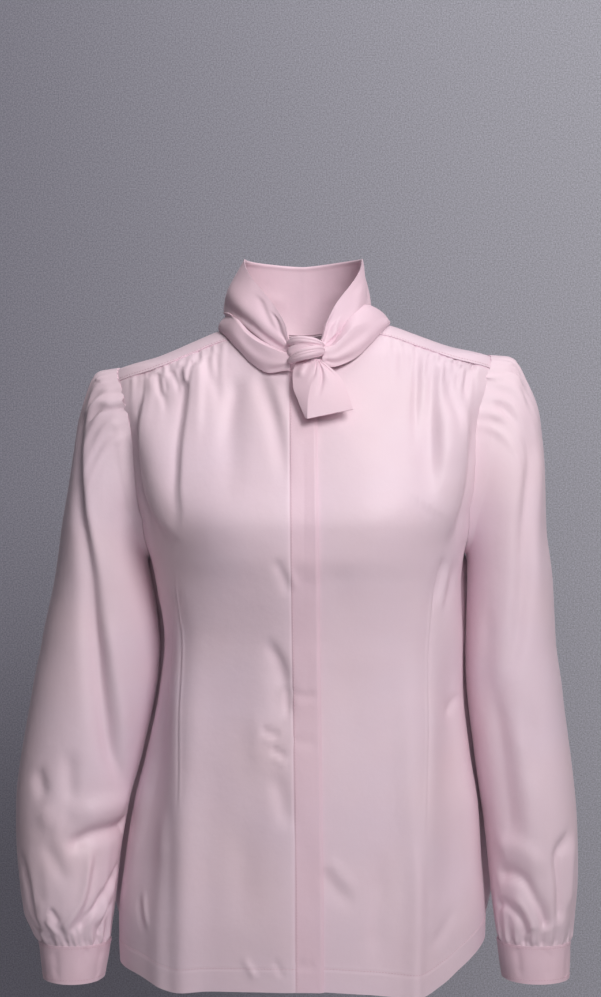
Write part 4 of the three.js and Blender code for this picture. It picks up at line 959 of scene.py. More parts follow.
def seamPoint(away):
    endX = float(armholePoint(1, seamArmAngle)[..., 0])
    x = mix(seamNeckX, endX, away)
    return stack(x, depthAt(x, seamTop(x), True), seamTop(x))


def yokePoint(side, share, away):
    backAngle = -armAngleAt(np.array(float(form["backYokeZ"])))
    inner = neckPoint(mix(seamNeckAngle, 180, share))
    armShare = yoke["armShare"]
    alongArm = np.minimum(1, share / armShare)
    alongBack = np.maximum(0, (share - armShare) / (1 - armShare))
    outer = armholePoint(side, mix(seamArmAngle, backAngle, alongArm))
    outerAngle = mix(bodyAngle(outer), 180, alongBack)
    start, seam, end = seamPoint(0.0), seamPoint(away), seamPoint(1.0)
    bowZ = seam[..., 2] - mix(start[..., 2], end[..., 2], away)
    bowAngle = bodyAngle(seam) - mix(bodyAngle(start), bodyAngle(end), away)
    z = mix(inner[..., 2], outer[..., 2], away) + bowZ * (1 - share)
    angle = mix(bodyAngle(inner), outerAngle, away) + bowAngle * (1 - share)
    return bodyPoint(side, angle, z)


def yokeSurface(turn, away, height=0.0):
    # turn runs 0 to 1 from the right front seam round the back to the left one
    side = np.where(turn <= 0.5, -1, 1)
    share = 1 - np.abs(1 - 2 * turn)
    base = yokePoint(side, share, away)
    normal = bodyNormal(side, base)
    toFront = share * 260
    edge = 0.75 * smoothStep(toFront, 0, 1.2)
    out = 0.35 + edge * 0.3 + foldSum(turn * yoke["foldAround"], away * yoke["foldOut"], yokeFolds) + height
    return lean(base + normal * out[..., None]), normal


def makeYoke():
    turn = np.linspace(0, 1, yoke["lines"] + 1)
    away, turn = np.meshgrid(np.linspace(0, 1, yoke["strips"] + 1), turn, indexing="ij")
    grid, _ = yokeSurface(turn, away)
    heart = grid * [0.9, 0, 1] - [0, 0, 60]
    piece = clothShell("yoke_cloth", grid, yoke["thick"], blouseCloth, heart)
    return finishPiece(piece, "doubled_cloth", "yoke")


yokeCloth = makeYoke()
print("yoke ready")


# ---- sleeves

sleeveLook = {
    "columns": 220, "roundDrop": 58, "seamOut": 0.3, "overYoke": 1.0, "overPanel": 1.3, "armGap": 1.3, "lap": 1.6,
    "capFrom": -80, "capTo": 84, "capFade": 16, "capPitch": 10, "capReach": 22, "capHeight": 2.2,
    "cuffTop": -613, "cuffCount": 15, "cuffReach": 26, "cuffHeight": 2.4,
}

sleeveRings = {
    "right": tableOf("z across depth half deep", [
        (-20, 196, 0, 29, 40), (-60, 197, 1, 31, 46), (-97, 199, 2, 33.6, 52), (-148, 203, 3, 37, 58),
        (-199, 207, 4, 41, 60), (-251, 205, 4, 50, 59), (-311, 207, 2, 60, 57), (-357, 213, 0, 63, 56),
        (-428, 226.3, -4, 61.3, 55), (-474, 234.7, -7, 57.3, 54), (-534, 238.5, -10, 51.5, 50),
        (-582, 237.8, -13, 45.8, 45), (-602, 234.7, -14, 39.3, 38), (-613, 232.7, -15, 35.5, 33),
        (-660, 234, -16, 28.5, 29)]),
    "left": tableOf("z across depth half deep", [
        (-20, 198, 0, 29, 40), (-61, 201, 1, 32.6, 46), (-97, 205, 2, 35.7, 52), (-148, 208, 3, 37.5, 58),
        (-199, 208, 4, 39, 60), (-251, 210.5, 4, 43, 59), (-311, 210.8, 2, 45.7, 57),
        (-362, 214.5, 0, 48.5, 56), (-439, 223.6, -4, 48.7, 55), (-497, 230, -7, 47, 53),
        (-555, 232.8, -11, 44.2, 48), (-590, 233, -13, 40, 42), (-603, 233, -14, 38, 37),
        (-613, 233.2, -15, 36, 33), (-660, 235.5, -16, 32, 30)]),
}

# paths by angle round the arm (0 outside, 90 front, 180 inside, 270 back) and height
sleeveFolds = {
    "right": [
        ([(8, -58), (36, -95), (50, -132), (64, -172), (78, -212), (91, -307), (108, -375), (131, -432),
          (168, -462)], 8, 12, -6.0, 0.10, 0.18),
        ([(24, -70), (50, -110), (66, -150), (84, -205), (98, -290)], 10, 9, 2.6, 0.2, 0.5),
        ([(80, -240), (93, -320), (110, -382), (132, -430), (160, -456)], 6, 10, -4.5, 0.3, 0.25),
        ([(98, -270), (112, -340), (130, -392), (150, -428)], 9, 9, 2.4, 0.3, 0.3),
        ([(58, -70), (48, -76), (36, -86)], 3.2, 3.4, -3.6, 0.05, 0.4),
        ([(54, -62), (44, -66), (30, -76)], 4, 4, 2.4, 0.1, 0.4),
        ([(46, -50), (38, -58), (26, -72)], 3.2, 3.2, -2.4, 0.05, 0.4),
        ([(22, -44), (20, -54), (20, -72)], 4, 4, -1.8, 0.05, 0.4),
        ([(4, -40), (2, -54), (2, -80)], 4, 4, -1.9, 0.05, 0.4),
        ([(110, -140), (120, -163), (118, -200)], 8, 8, -1.9, 0.3, 0.5),
        ([(50, -432), (58, -448), (68, -466)], 7, 8, -3.4, 0.35, 0.35),
        ([(79, -410), (90, -452), (95, -472)], 8, 8, -3.0, 0.4, 0.3),
        ([(64, -470), (74, -486), (92, -492)], 14, 10, 2.4, 0.3, 0.3),
        ([(88, -511), (104, -506), (120, -500), (148, -497), (178, -494)], 7, 10, -7.6, 0.2, 0.05),
        ([(92, -486), (120, -476), (150, -472), (178, -468)], 12, 14, 4.6, 0.3, 0.1),
        ([(64, -502), (82, -528), (99, -553)], 9, 9, -2.6, 0.3, 0.4),
        ([(119, -510), (118, -540), (110, -570), (84, -598)], 5, 5, 3.0, 0.25, 0.1),
        ([(127, -512), (126, -542), (118, -572), (96, -600)], 5, 5, -2.4, 0.3, 0.1),
        ([(176, -535), (150, -556), (128, -576), (104, -597)], 4, 5, -4.4, 0.1, 0.15),
        ([(168, -552), (150, -572), (130, -594)], 5, 5, 2.6, 0.2, 0.2),
        ([(158, -572), (146, -588), (138, -604)], 3, 4, -2.8, 0.2, 0.2),
        ([(70, -573), (77, -579), (84, -589)], 4, 5, -2.8, 0.3, 0.3),
        ([(64, -584), (72, -594), (80, -602)], 4, 4, 2.0, 0.3, 0.3),
        ([(24, -518), (40, -546), (45, -578), (48, -602)], 5, 7, -4.0, 0.3, 0.1),
        ([(62, -560), (60, -585), (60, -606)], 6, 6, 1.8, 0.3, 0.1),
        ([(300, -90), (292, -260), (262, -430)], 12, 14, -6.0, 0.2, 0.3),
        ([(320, -110), (316, -240), (300, -380)], 14, 12, 2.6, 0.3, 0.4),
        ([(230, -500), (270, -486), (308, -502)], 9, 14, -5.5, 0.3, 0.3),
        ([(225, -470), (268, -458), (310, -472)], 14, 14, 3.4, 0.3, 0.3),
        ([(240, -560), (262, -580), (278, -604)], 6, 6, -3.0, 0.3, 0.1),
        ([(316, -540), (306, -570), (296, -604)], 6, 6, -3.0, 0.3, 0.1),
        ([(340, -330), (346, -420), (344, -500)], 13, 13, -2.8, 0.35, 0.35),
        ([(250, -300), (262, -330), (280, -350)], 9, 9, -2.8, 0.35, 0.35),
        ([(200, -380), (222, -410), (250, -424)], 10, 10, -2.8, 0.35, 0.35),
    ],
    "left": [
        ([(41, -53), (52, -69), (63, -93), (70, -118)], 3, 4, -4.2, 0.04, 0.5),
        ([(30, -50), (41, -70), (53, -100)], 4, 4, 2.0, 0.1, 0.5),
        ([(40, -45), (30, -50), (18, -60)], 3.2, 3.2, -2.4, 0.05, 0.45),
        ([(22, -42), (20, -52), (24, -74)], 4, 4, -1.6, 0.05, 0.4),
        ([(4, -40), (2, -54), (4, -80)], 4, 4, -1.8, 0.05, 0.4),
        ([(-14, -42), (-16, -56), (-14, -80)], 4, 4, -1.8, 0.05, 0.4),
        ([(48, -90), (58, -123), (71, -179), (79, -230), (90, -307), (106, -345), (118, -372)],
         10, 12, -4.6, 0.15, 0.3),
        ([(30, -100), (44, -160), (58, -230), (66, -300)], 12, 12, 1.8, 0.3, 0.4),
        ([(78, -367), (84, -420), (92, -462)], 14, 12, -1.6, 0.35, 0.35),
        ([(130, -260), (132, -330), (140, -400)], 12, 14, -2.2, 0.3, 0.4),
        ([(122, -330), (121, -430), (124, -535)], 11, 13, -3.6, 0.3, 0.3),
        ([(98, -370), (95, -460), (98, -530)], 13, 13, 2.2, 0.3, 0.3),
        ([(36, -496), (52, -508), (66, -522), (62, -556), (58, -592)], 6, 7, -4.2, 0.25, 0.15),
        ([(24, -500), (40, -530), (42, -580)], 8, 7, 2.2, 0.3, 0.2),
        ([(152, -546), (130, -540), (112, -545), (99, -560), (84, -582), (77, -598)], 6, 8, -5.2, 0.15, 0.12),
        ([(150, -520), (124, -512), (98, -522), (84, -545)], 12, 11, 3.0, 0.25, 0.3),
        ([(160, -576), (140, -572), (118, -584), (106, -602)], 5, 6, -3.0, 0.15, 0.12),
        ([(128, -560), (112, -572), (98, -598)], 5, 5, 2.2, 0.25, 0.15),
        ([(305, -90), (292, -250), (262, -420)], 12, 14, -5.6, 0.2, 0.3),
        ([(322, -110), (316, -240), (300, -380)], 14, 12, 2.4, 0.3, 0.4),
        ([(225, -512), (268, -498), (305, -512)], 9, 14, -5.4, 0.3, 0.3),
        ([(222, -482), (266, -470), (308, -484)], 14, 14, 3.2, 0.3, 0.3),
        ([(240, -560), (258, -580), (270, -604)], 6, 6, -2.8, 0.3, 0.1),
        ([(318, -540), (306, -570), (292, -604)], 6, 6, -3.0, 0.3, 0.1),
        ([(342, -330), (348, -420), (342, -500)], 12, 12, -2.4, 0.35, 0.35),
        ([(250, -310), (262, -338), (282, -356)], 9, 9, -2.6, 0.35, 0.35),
        ([(196, -360), (214, -390), (240, -404)], 9, 9, -2.4, 0.35, 0.35),
    ],
}


def sleevePoint(name, angle, share, height=0.0):
    p = sleeveLook
    side = 1 if name == "left" else -1
    # the sleeve's edge laps over the panels all round the armhole
    seam = armholePoint(side, angle, p["lap"] * (1 - smoothStep(share, 0, 0.012)))
    overPanel = (0.5 + 0.5 * np.cos(np.radians(angle))) ** 0.4
    overYoke = smoothStep(np.cos(np.radians(angle)), 0.75, 0.95)
    start = smoothStep(share, 0, 0.007)
    out = mix(p["seamOut"] + p["overYoke"] * overYoke, p["armGap"] + p["overPanel"] * overPanel, start)
    out = out - armSink(seam[..., 2]) * smoothStep(np.sin(np.radians(angle)), 0, 0.3)
    seam = seam + bodyNormal(side, seam) * out[..., None]
    z = mix(seam[..., 2], p["cuffTop"] + 0.4, share)
    drop = seam[..., 2] - z
    ring = sleeveRings[name](z)
    a = np.radians(angle)
    x = side * (ring.across + ring.half * np.cos(a))
    y = ring.depth - ring.deep * np.sin(a)
    around = np.sqrt(1 - (1 - np.clip(drop / p["roundDrop"], 0, 1)) ** 2)
    point = stack(mix(seam[..., 0], x, around), mix(seam[..., 1], y, around), z)
    away = stack(side * np.cos(a) * ring.deep, -np.sin(a) * ring.half, 0)
    away /= np.linalg.norm(away, axis=-1, keepdims=True)
    signed = np.where(angle > 180, angle - 360, angle)
    place = np.mod(angle, 360)
    crossing = [fold for fold in sleeveFolds[name] if fold[0][0][0] < 0]
    folds = foldSum(place, z, sleeveFolds[name]) + foldSum(signed, z, crossing)
    capShare = (smoothStep(signed, p["capFrom"], p["capFrom"] + p["capFade"])
                * (1 - smoothStep(signed, p["capTo"] - p["capFade"], p["capTo"])))
    puff = 0.7 * p["capHeight"] * np.exp(-drop / p["capReach"]) * smoothStep(drop, -3, 8)
    waves = gatherWaves(signed + 4 * side, p["capPitch"], drop, p["capReach"] * 0.8, p["capHeight"] * 0.8)
    cap = capShare * (puff + waves)
    toCuff = z - p["cuffTop"]
    phase = a * p["cuffCount"] + 0.9 * np.sin(2 * a + 1) + 0.6 * np.sin(5 * a)
    size = p["cuffHeight"] * (0.8 + 0.35 * np.sin(3 * a + 0.6 + side))
    reach = p["cuffReach"] * (1 + 0.45 * np.sin(4 * a + 2 * side))
    cuff = size * np.cos(phase) * np.exp(-toCuff / reach) * smoothStep(toCuff, 0, 6)
    pinch = 0.7 * np.cos(a * 37 + 1.5 * np.sin(3 * a)) * np.exp(-toCuff / (9 + 4 * np.sin(5 * a)))
    cuff = cuff + pinch * smoothStep(toCuff, 0, 2)
    insideShare = smoothStep(np.abs(signed), 150, 176)
    underArm = smoothStep(np.abs(signed), 120, 160) * (1 - smoothStep(-z, 300, 380))
    capRise = capShare * 5 * np.exp(-((drop - 12) / 10) ** 2) * smoothStep(drop, 0, 6)
    hidden = np.where(folds > 0, np.maximum(insideShare, underArm), underArm)
    total = folds * (1 - hidden) + cap * (1 - underArm) + cuff + height
    point = point + away * total[..., None]
    point[..., 2] += capRise * np.maximum(0, np.cos(a))
    return lean(point)


def makeSleeve(name):
    angles = np.linspace(-80, 280, sleeveLook["columns"] + 1)[:-1]
    shares = np.concatenate([np.linspace(0, 0.09, 30)[:-1] ** 1.25 / 0.09 ** 0.25, np.linspace(0.09, 0.9, 92)[:-1],
                             np.linspace(0.9, 1, 30)])
    share, angle = np.meshgrid(shares, angles, indexing="ij")
    grid = sleevePoint(name, angle, share)
    side = 1 if name == "left" else -1
    heart = stack(side * sleeveRings[name](grid[..., 2]).across, 0 * angle, grid[..., 2])
    heart[..., 2] -= np.where(grid[..., 2] > -70, 30, 0)
    piece = clothShell(f"sleeve_{name}_cloth", grid, form["cloth"], blouseCloth, heart, ring=True)
    return finishPiece(piece, "blouse_cloth", f"sleeve_{name}")


sleeveRight = makeSleeve("right")
sleeveLeft = makeSleeve("left")
print("sleeves ready")


# ---- cuffs: doubled bands, the upper end lapped and buttoned at the back

cuffs = {"top": -612.6, "bottom": -650, "wrap": 386, "start": 205, "lapStep": 2.5, "rows": 34, "columns": 230,
         "dent": {"right": -1.5, "left": -1.0}}
cuffFolds = {
    "right": [([(60, -616), (66, -632), (60, -646)], 8, 8, -0.9, 0.2, 0.3),
              ([(118, -614), (112, -628), (116, -640)], 7, 7, -0.9, 0.15, 0.4),
              ([(150, -616), (144, -636), (150, -648)], 8, 8, -1.1, 0.2, 0.2),
              ([(20, -618), (26, -640), (22, -648)], 7, 9, -0.9, 0.2, 0.2)],
    "left": [([(70, -616), (76, -634), (72, -647)], 9, 8, -0.8, 0.2, 0.3),
             ([(128, -614), (124, -630), (128, -646)], 7, 7, -0.9, 0.15, 0.3),
             ([(28, -618), (34, -638), (30, -648)], 8, 8, -0.8, 0.2, 0.2)],
}


def cuffPoint(name, turn, z, out):
    p = cuffs
    side = 1 if name == "left" else -1
    ring = sleeveRings[name](z)
    angle = p["start"] + turn
    a = np.radians(angle)
    lap = smoothStep(turn, 318, 356) * p["lapStep"]
    fold = foldSum(np.mod(angle, 360), z, cuffFolds[name])
    droop = p["dent"][name] * np.sin(a - 0.4) * smoothStep(-z, 630, 650)
    more = out + lap + fold + 0.5 * np.exp(-((z + 632) / 12) ** 2)
    x = side * (ring.across + (ring.half + more) * np.cos(a))
    y = ring.depth - (ring.deep + more) * np.sin(a)
    return lean(stack(x, y, z + droop * 0.8))


def makeCuff(name):
    p = cuffs
    ease = np.linspace(0, 1, p["rows"])
    z, turn = np.meshgrid(mix(p["top"], p["bottom"], ease), np.linspace(0, p["wrap"], p["columns"]), indexing="ij")
    grid = cuffPoint(name, turn, z, 0.4)
    side = 1 if name == "left" else -1
    ring = sleeveRings[name](z)
    heart = stack(side * ring.across, ring.depth, z)
    toEdge = np.minimum(np.abs(z - p["top"]), np.abs(z - p["bottom"]))
    thickness = 1.8 - 0.5 * np.exp(-toEdge / 0.9)
    piece = clothShell(f"cuff_{name}_band", grid, thickness, doubledCloth, heart)
    return finishPiece(piece, "doubled_cloth", f"cuff_{name}")


cuffRight = makeCuff("right")
cuffLeft = makeCuff("left")
print("cuffs ready")


# ---- collar stand, and the tie sewn round its foot

collar = {"columns": 230, "rows": 52, "thick": 1.6, "foldTall": 90, "gapLeft": 12.5, "gapRight": -10.5}
standTable = tableOf("angle foot lift topRadius topZ belly", [
    (-180, 0, 0, 57, 76, 3), (-140, 0, 0, 59, 79, 6), (-96, 0, 0, 61, 80, 18), (-72, 0, 0, 61, 66, 16),
    (-50, 2, 0, 61, 48, 13), (-30, 6, 0, 65, 29, 8), (-15, 11, 2, 74, 6, 2), (-10.5, 13, 3, 79, -12, 0),
    (12.5, 13, 3, 79, -12, 0), (17, 11, 2, 74, 4, 1), (30, 6, 0, 65, 26, 3), (50, 2, 0, 61, 45, 4),
    (72, 0, 0, 60, 62, 4), (96, 0, 0, 60, 76, 4), (140, 0, 0, 59, 78, 3), (180, 0, 0, 57, 76, 3),
])
# paths by angle round the neck and height share x foldTall
standFolds = [
    ([(-100, 34), (-76, 30), (-50, 26), (-28, 20), (-12, 14)], 8, 7, -2.4, 0.25, 0.1),
    ([(-96, 60), (-70, 52), (-44, 46), (-22, 40)], 14, 12, 1.6, 0.3, 0.3),
    ([(-44, 80), (-30, 58), (-18, 36)], 5, 6, -1.2, 0.2, 0.4),
    ([(-24, 78), (-19, 60), (-14, 40)], 3, 4, -1.8, 0.2, 0.3),
    ([(18, 84), (20, 66), (16, 40)], 4, 3, -1.6, 0.15, 0.3),
    ([(24, 60), (25, 44), (20, 26)], 4.5, 4.5, 2.6, 0.2, 0.3),
    ([(96, 80), (84, 52), (70, 24)], 8, 7, -1.8, 0.2, 0.3),
    ([(62, 76), (54, 50), (40, 28)], 10, 9, 1.4, 0.3, 0.3),
    ([(-136, 50), (-154, 44), (-168, 46)], 10, 10, -1.0, 0.4, 0.4),
    ([(138, 54), (152, 46), (166, 46)], 10, 10, -1.0, 0.4, 0.4),
    ([(120, 60), (128, 36), (130, 16)], 8, 8, -1.2, 0.3, 0.3),
    ([(-122, 62), (-126, 36), (-128, 18)], 9, 9, -1.4, 0.3, 0.3),
]


def standPoint(angle, share, height=0.0):
    s = standTable(angle)
    neckX, neckY = neckPlan(angle)
    neckZ = topOf(neckX, neckY) + 0.5 + s.lift
    radius = np.hypot(neckX, neckY)
    reach = mix(radius + s.foot, s.topRadius, share) + s.belly * np.sin(np.pi * share ** 0.6)
    reach = reach + foldSum(angle + 0 * share, share * collar["foldTall"], standFolds) + height
    return lean(stack(neckX / radius * reach, neckY / radius * reach, mix(neckZ, s.topZ, share)))


def makeStand():
    half = collar["columns"] // 2
    angles = np.concatenate([np.linspace(collar["gapLeft"], 180, half),
                             np.linspace(-180, collar["gapRight"], half)[1:]])
    shares = np.linspace(0, 1, collar["rows"])
    grid = np.stack([standPoint(angles, np.full(len(angles), s)) for s in shares])
    # a soft fold at the top edge, as it is a folded band
    toTop = (1 - shares)[:, None] * collar["foldTall"] + 0 * angles[None, :]
    thickness = collar["thick"] + 0.9 * np.exp(-((toTop - 2.5) / 2.0) ** 2) - 0.7 * np.exp(-toTop / 0.7)
    piece = clothShell("collar_stand_cloth", grid, thickness, doubledCloth, grid * [0, 0, 1])
    return finishPiece(piece, "doubled_cloth", "collar_stand")


def standRadius(angle, z):
    s = standTable(angle)
    neckX, neckY = neckPlan(angle)
    foot = topOf(neckX, neckY) + 0.5 + s.lift
    share = np.clip((z - foot) / (s.topZ - foot), 0.001, 1)
    return mix(np.hypot(neckX, neckY) + s.foot, s.topRadius, share) + s.belly * np.sin(np.pi * share ** 0.6)


tie = {"half": 87, "front": 85, "back": 70, "start": 11.5, "end": -8.9, "columns": 260, "faceRows": 30,
       "roofRows": 16, "edge": 1.8, "crisp": 0.6, "foldTall": 28, "faceTall": 24}
# crest is the height of the folded edge; from there the cloth turns in to the collar, rise above the crest
tieTable = tableOf("angle lift crest lean rise", [
    (-180, 2.4, 10, -4, 3), (-120, 1.8, 19, -5, 4), (-90, 1.6, 21, -7, 4), (-72, 2.2, 19, -7, 3),
    (-56, 3.6, 12.5, -4, 2), (-42, 6, -3, -3, 2), (-27, 12, -15, -1, 1.5), (-9, 28, -24.5, 0, 1),
    (12, 30, -20, 0, 1), (18, 24, -19, 0, 1), (27, 17, -9, -1, 3), (36, 10.5, 0.5, -2, 7), (50, 5, 6, -3, 13),
    (62, 2.6, 10, -3, 15), (85, 1.6, 14, -2, 12), (105, 1.6, 17, -4, 9), (130, 1.8, 17, -5, 7),
    (180, 2.4, 10, -4, 3),
])
# paths by angle round the neck and height share x foldTall
tieFolds = [
    ([(-60, 23), (-42, 20), (-24, 17), (-9, 15)], 7, 6, -0.8, 0.4, 0.05),
    ([(-50, 10), (-32, 10), (-9, 12)], 7, 6, 0.9, 0.4, 0.1),
    ([(-26, 3), (-18, 5), (-9, 8)], 2.8, 2.8, -1.2, 0.4, 0.05),
    ([(56, 20), (40, 18), (25, 15), (12, 13)], 6, 6, -1.3, 0.4, 0.05),
    ([(50, 10), (34, 10), (13, 13)], 6, 5, 1.1, 0.3, 0.1),
    ([(36, 3), (26, 4), (13, 8)], 3, 3, -1.4, 0.35, 0.05),
    ([(76, 24), (92, 16), (110, 10)], 8, 7, -1.2, 0.3, 0.3),
    ([(-84, 18), (-98, 12), (-116, 9)], 7, 6, -1.1, 0.3, 0.3),
    ([(150, 14), (170, 10), (180, 10)], 8, 8, -0.9, 0.3, 0),
    ([(-150, 14), (-170, 9), (-180, 10)], 8, 8, -0.9, 0.3, 0),
]


def tiePoint(angle, share):
    # share runs 0 to 1 up the face and 1 to 2 over the fold to the collar
    s = tieTable(angle)
    a = np.radians(angle)
    depth = np.where(np.cos(a) > 0, tie["front"], tie["back"])
    x, y = tie["half"] * np.sin(a), -depth * np.cos(a)
    radius = np.hypot(x, y)
    foot = topOf(x, y) + s.lift
    face, flat = np.minimum(share, 1), np.maximum(0, share - 1)
    turned = flat * np.pi / 2
    reach = radius + s.lean * face ** 1.6 + 1.8 * np.sin(np.pi * face)
    reach = reach + foldSum(angle, face * tie["foldTall"], tieFolds)
    inner = standRadius(angle, s.crest + s.rise) + 0.8
    inward = mix(1 - np.cos(turned), flat, tie["crisp"])
    reach = np.where(share > 1, mix(reach, inner, inward), reach)
    z = mix(foot, s.crest, face) + s.rise * mix(np.sin(turned), flat, tie["crisp"])
    return lean(stack(x * reach / radius, y * reach / radius, z))


def makeTie():
    p = tie
    half = p["columns"] // 2
    angles = np.concatenate([np.linspace(p["start"], 180, half), np.linspace(-180, p["end"], half)[1:]])
    shares = np.concatenate([np.linspace(0, 1, p["faceRows"]), np.linspace(1, 2, p["roofRows"])[1:]])
    grid = np.stack([tiePoint(angles, np.full(len(angles), s)) for s in shares])
    toEdge = shares[:, None] * p["faceTall"] + 0 * angles[None, :]
    thickness = 1.6 + 0.8 * np.exp(-((toEdge - 2) / p["edge"]) ** 2) - 0.6 * np.exp(-toEdge / 0.6)
    piece = clothShell("tie_band_cloth", grid, thickness, doubledCloth, grid * [0, 0, 1])
    return finishPiece(piece, "doubled_cloth", "tie_band")


collarStand = makeStand()
tieBand = makeTie()
print("collar ready")


# ---- knot: the tie end wraps once round the other, over a short roll behind it

# rows: x, y, z of the middle, half its height, half its thickness
knot = {
    "wrap": [(-16.5, -82, -33.4, 0.6, 0.6), (-13.5, -88.5, -32.2, 3.4, 2.6), (-7, -94.5, -29.2, 5.0, 3.6),
             (0.5, -97, -27.0, 5.9, 3.9), (8, -96, -25.2, 6.0, 3.7), (14, -91.5, -24.2, 5.6, 3.3),
             (18.5, -85, -24.0, 3.8, 2.2), (20, -81.5, -24.2, 0.6, 0.6)],
    "over": [(-17, -78, -15.6, 0.6, 0.6), (-14, -83, -14.2, 3.0, 2.2), (-8, -87, -12.9, 4.2, 2.9),
             (0, -89, -13.6, 4.6, 3.1), (9, -88.5, -15.2, 4.4, 3.0), (16, -84.5, -17.2, 3.2, 2.2),
             (20, -80, -18.2, 0.6, 0.6)],
    "under": [(-17, -80, -24, 0.6, 0.6), (-12, -84, -23.5, 6.0, 4.0), (0, -87, -22.5, 8.2, 5.0),
              (12, -85, -22.5, 7.6, 4.4), (19, -80, -22, 0.6, 0.6)],
}
# rows: place across the roll, depth as a share of its thickness, width
knotGrooves = {
    "wrap": [(0.42, 0.24, 0.13), (-0.18, 0.17, 0.12), (-0.62, 0.20, 0.12)],
    "over": [(0.2, 0.20, 0.14), (-0.45, 0.22, 0.14)],
    "under": [(0.1, 0.1, 0.3)],
}


def rollGrid(name):
    path = splinePath(knot[name], 10)
    centre, tall, thick = path[:, :3], path[:, 3:4], path[:, 4:5]
    tangent = np.gradient(centre, axis=0)
    tangent /= np.linalg.norm(tangent, axis=1, keepdims=True)
    out = np.cross(tangent, [0, 0, 1.0])
    out /= np.linalg.norm(out, axis=1, keepdims=True)
    up = np.cross(out, tangent)
    turn = np.linspace(0, 2 * np.pi, 56, endpoint=False)[None, :]
    along = np.linspace(0, 1, len(path))[:, None]
    groove = 1.0
    for place, depth, width in knotGrooves[name]:
        drift = place + 0.18 * np.sin(3.1 * along + 5 * place)
        groove = groove - depth * np.exp(-((np.sin(turn) - drift) / width) ** 2) * (np.cos(turn) > 0)
    outward = thick * signedPower(np.cos(turn), 0.85) * groove
    return centre[:, None] + out[:, None] * outward[..., None] + up[:, None] * (tall * np.sin(turn))[..., None]


def makeKnot():
    points, faces, offset = [], [], 0
    for name in knot:
        part = lean(rollGrid(name))
        rows, columns = part.shape[:2]
        index = offset + np.arange(rows * columns).reshape(rows, columns)
        nextOne = np.roll(index, -1, axis=1)
        quads = np.stack([index[:-1], nextOne[:-1], nextOne[1:], index[1:]], axis=-1).reshape(-1, 4)
        points.append(part.reshape(-1, 3))
        faces += quads.tolist()
        faces += [index[0][::-1].tolist(), index[-1].tolist()]
        offset += rows * columns
    points = np.concatenate(points)
    uv = np.stack([points[:, 0], points[:, 2] - points[:, 1]], axis=-1)
    piece = meshObject("tie_knot_wrap", points, faces, uv, doubledCloth)
    return finishPiece(piece, "doubled_cloth", "tie_knot")


tieKnot = makeKnot()


# ---- tie ends: doubled, flared, the left strip turned back

# rows: share down, then x of the left edge, of the ridge where the strip turns back, and of the right edge
tails = {
    "front": {"edges": [(0, -7, 11.5, 15), (0.1, -9.6, 10.8, 21), (0.25, -11.2, 9.4, 30), (0.45, -10.8, 6.2, 37.5),
                        (0.7, -6, 3.4, 42.5), (1, 0.8, 2.6, 47)],
              "topY": (-87, -92.5, -88.5), "bottomY": (-107, -109.5, -106), "topZ": -32.0,
              "bottomZ": (-89.5, -90.5, -82.5), "bulge": 3.5, "thick": 2.0},
    "back": {"edges": [(0, -6, 4, 13), (0.4, -3, 7, 22), (1, 4, 12, 34)],
             "topY": (-83.2, -85, -83.8), "bottomY": (-98, -100, -99), "topZ": -36.0,
             "bottomZ": (-76, -78, -72), "bulge": 2, "thick": 1.6},
}
# paths by share across x 50 and share down x 55
tailFolds = [
    ([(31, 0), (29, 12), (27, 26), (24, 40)], 2.6, 2.2, -1.5, 0.05, 0.5),
    ([(40, 0), (42, 10), (45, 22)], 2.4, 2.4, -1.2, 0.05, 0.5),
    ([(20, 0), (17, 12), (14, 26)], 2.6, 2.6, -1.2, 0.05, 0.5),
    ([(35, 4), (35, 16), (36, 30)], 4, 4, 0.9, 0.2, 0.5),
    ([(8, 2), (6, 10), (5, 18)], 3.2, 2.8, 2.2, 0.15, 0.4),
]


def makeTail(name):
    t = tails[name]
    ridge = 0.32
    edges = tableOf("down left ridge right", t["edges"])
    down, across = np.meshgrid(np.linspace(0, 1, 80), np.linspace(0, 1, 76), indexing="ij")
    at = edges(down)
    isTurned = across < ridge
    s = np.where(isTurned, across / ridge, (across - ridge) / (1 - ridge))

    def between(left, middle, right):
        return np.where(isTurned, mix(left, middle, s), mix(middle, right, s))
    x = between(at.left, at.ridge, at.right)
    z = mix(t["topZ"], between(*t["bottomZ"]), down)
    y = mix(between(*t["topY"]), between(*t["bottomY"]), down)
    y = y - np.sin(np.pi * down) * t["bulge"] * np.sin(np.pi * across) * 0.7
    y = y - foldSum(across * 50, down * 55, tailFolds)
    grid = lean(stack(x, y, z))
    toEdge = np.minimum(np.minimum(across, 1 - across) * 50, (1 - down) * 50)
    thickness = t["thick"] + 0.5 * np.exp(-((toEdge - 1.8) / 1.6) ** 2) - 0.7 * np.exp(-toEdge / 0.6)
    heart = stack(10 + 0 * x, 0 * y, z)
    piece = clothShell(f"tie_end_{name}_cloth", grid, thickness, doubledCloth, heart)
    return finishPiece(piece, "doubled_cloth", f"tie_end_{name}")


tailFront = makeTail("front")
tailBack = makeTail("back")
print("tie ready")


# ---- buttons: dished discs with four holes and thread through them

# width and height of each kind, and the four holes' place and size
buttons = {"frontRadius": 5.4, "frontThick": 1.25, "cuffRadius": 5.5, "cuffThick": 2.1, "frontCount": 7,
           "sides": 48, "holeAt": 1.2, "holeSize": 0.5, "holeDip": 0.5, "threadRadius": 0.3, "cuffTilt": -0.12}


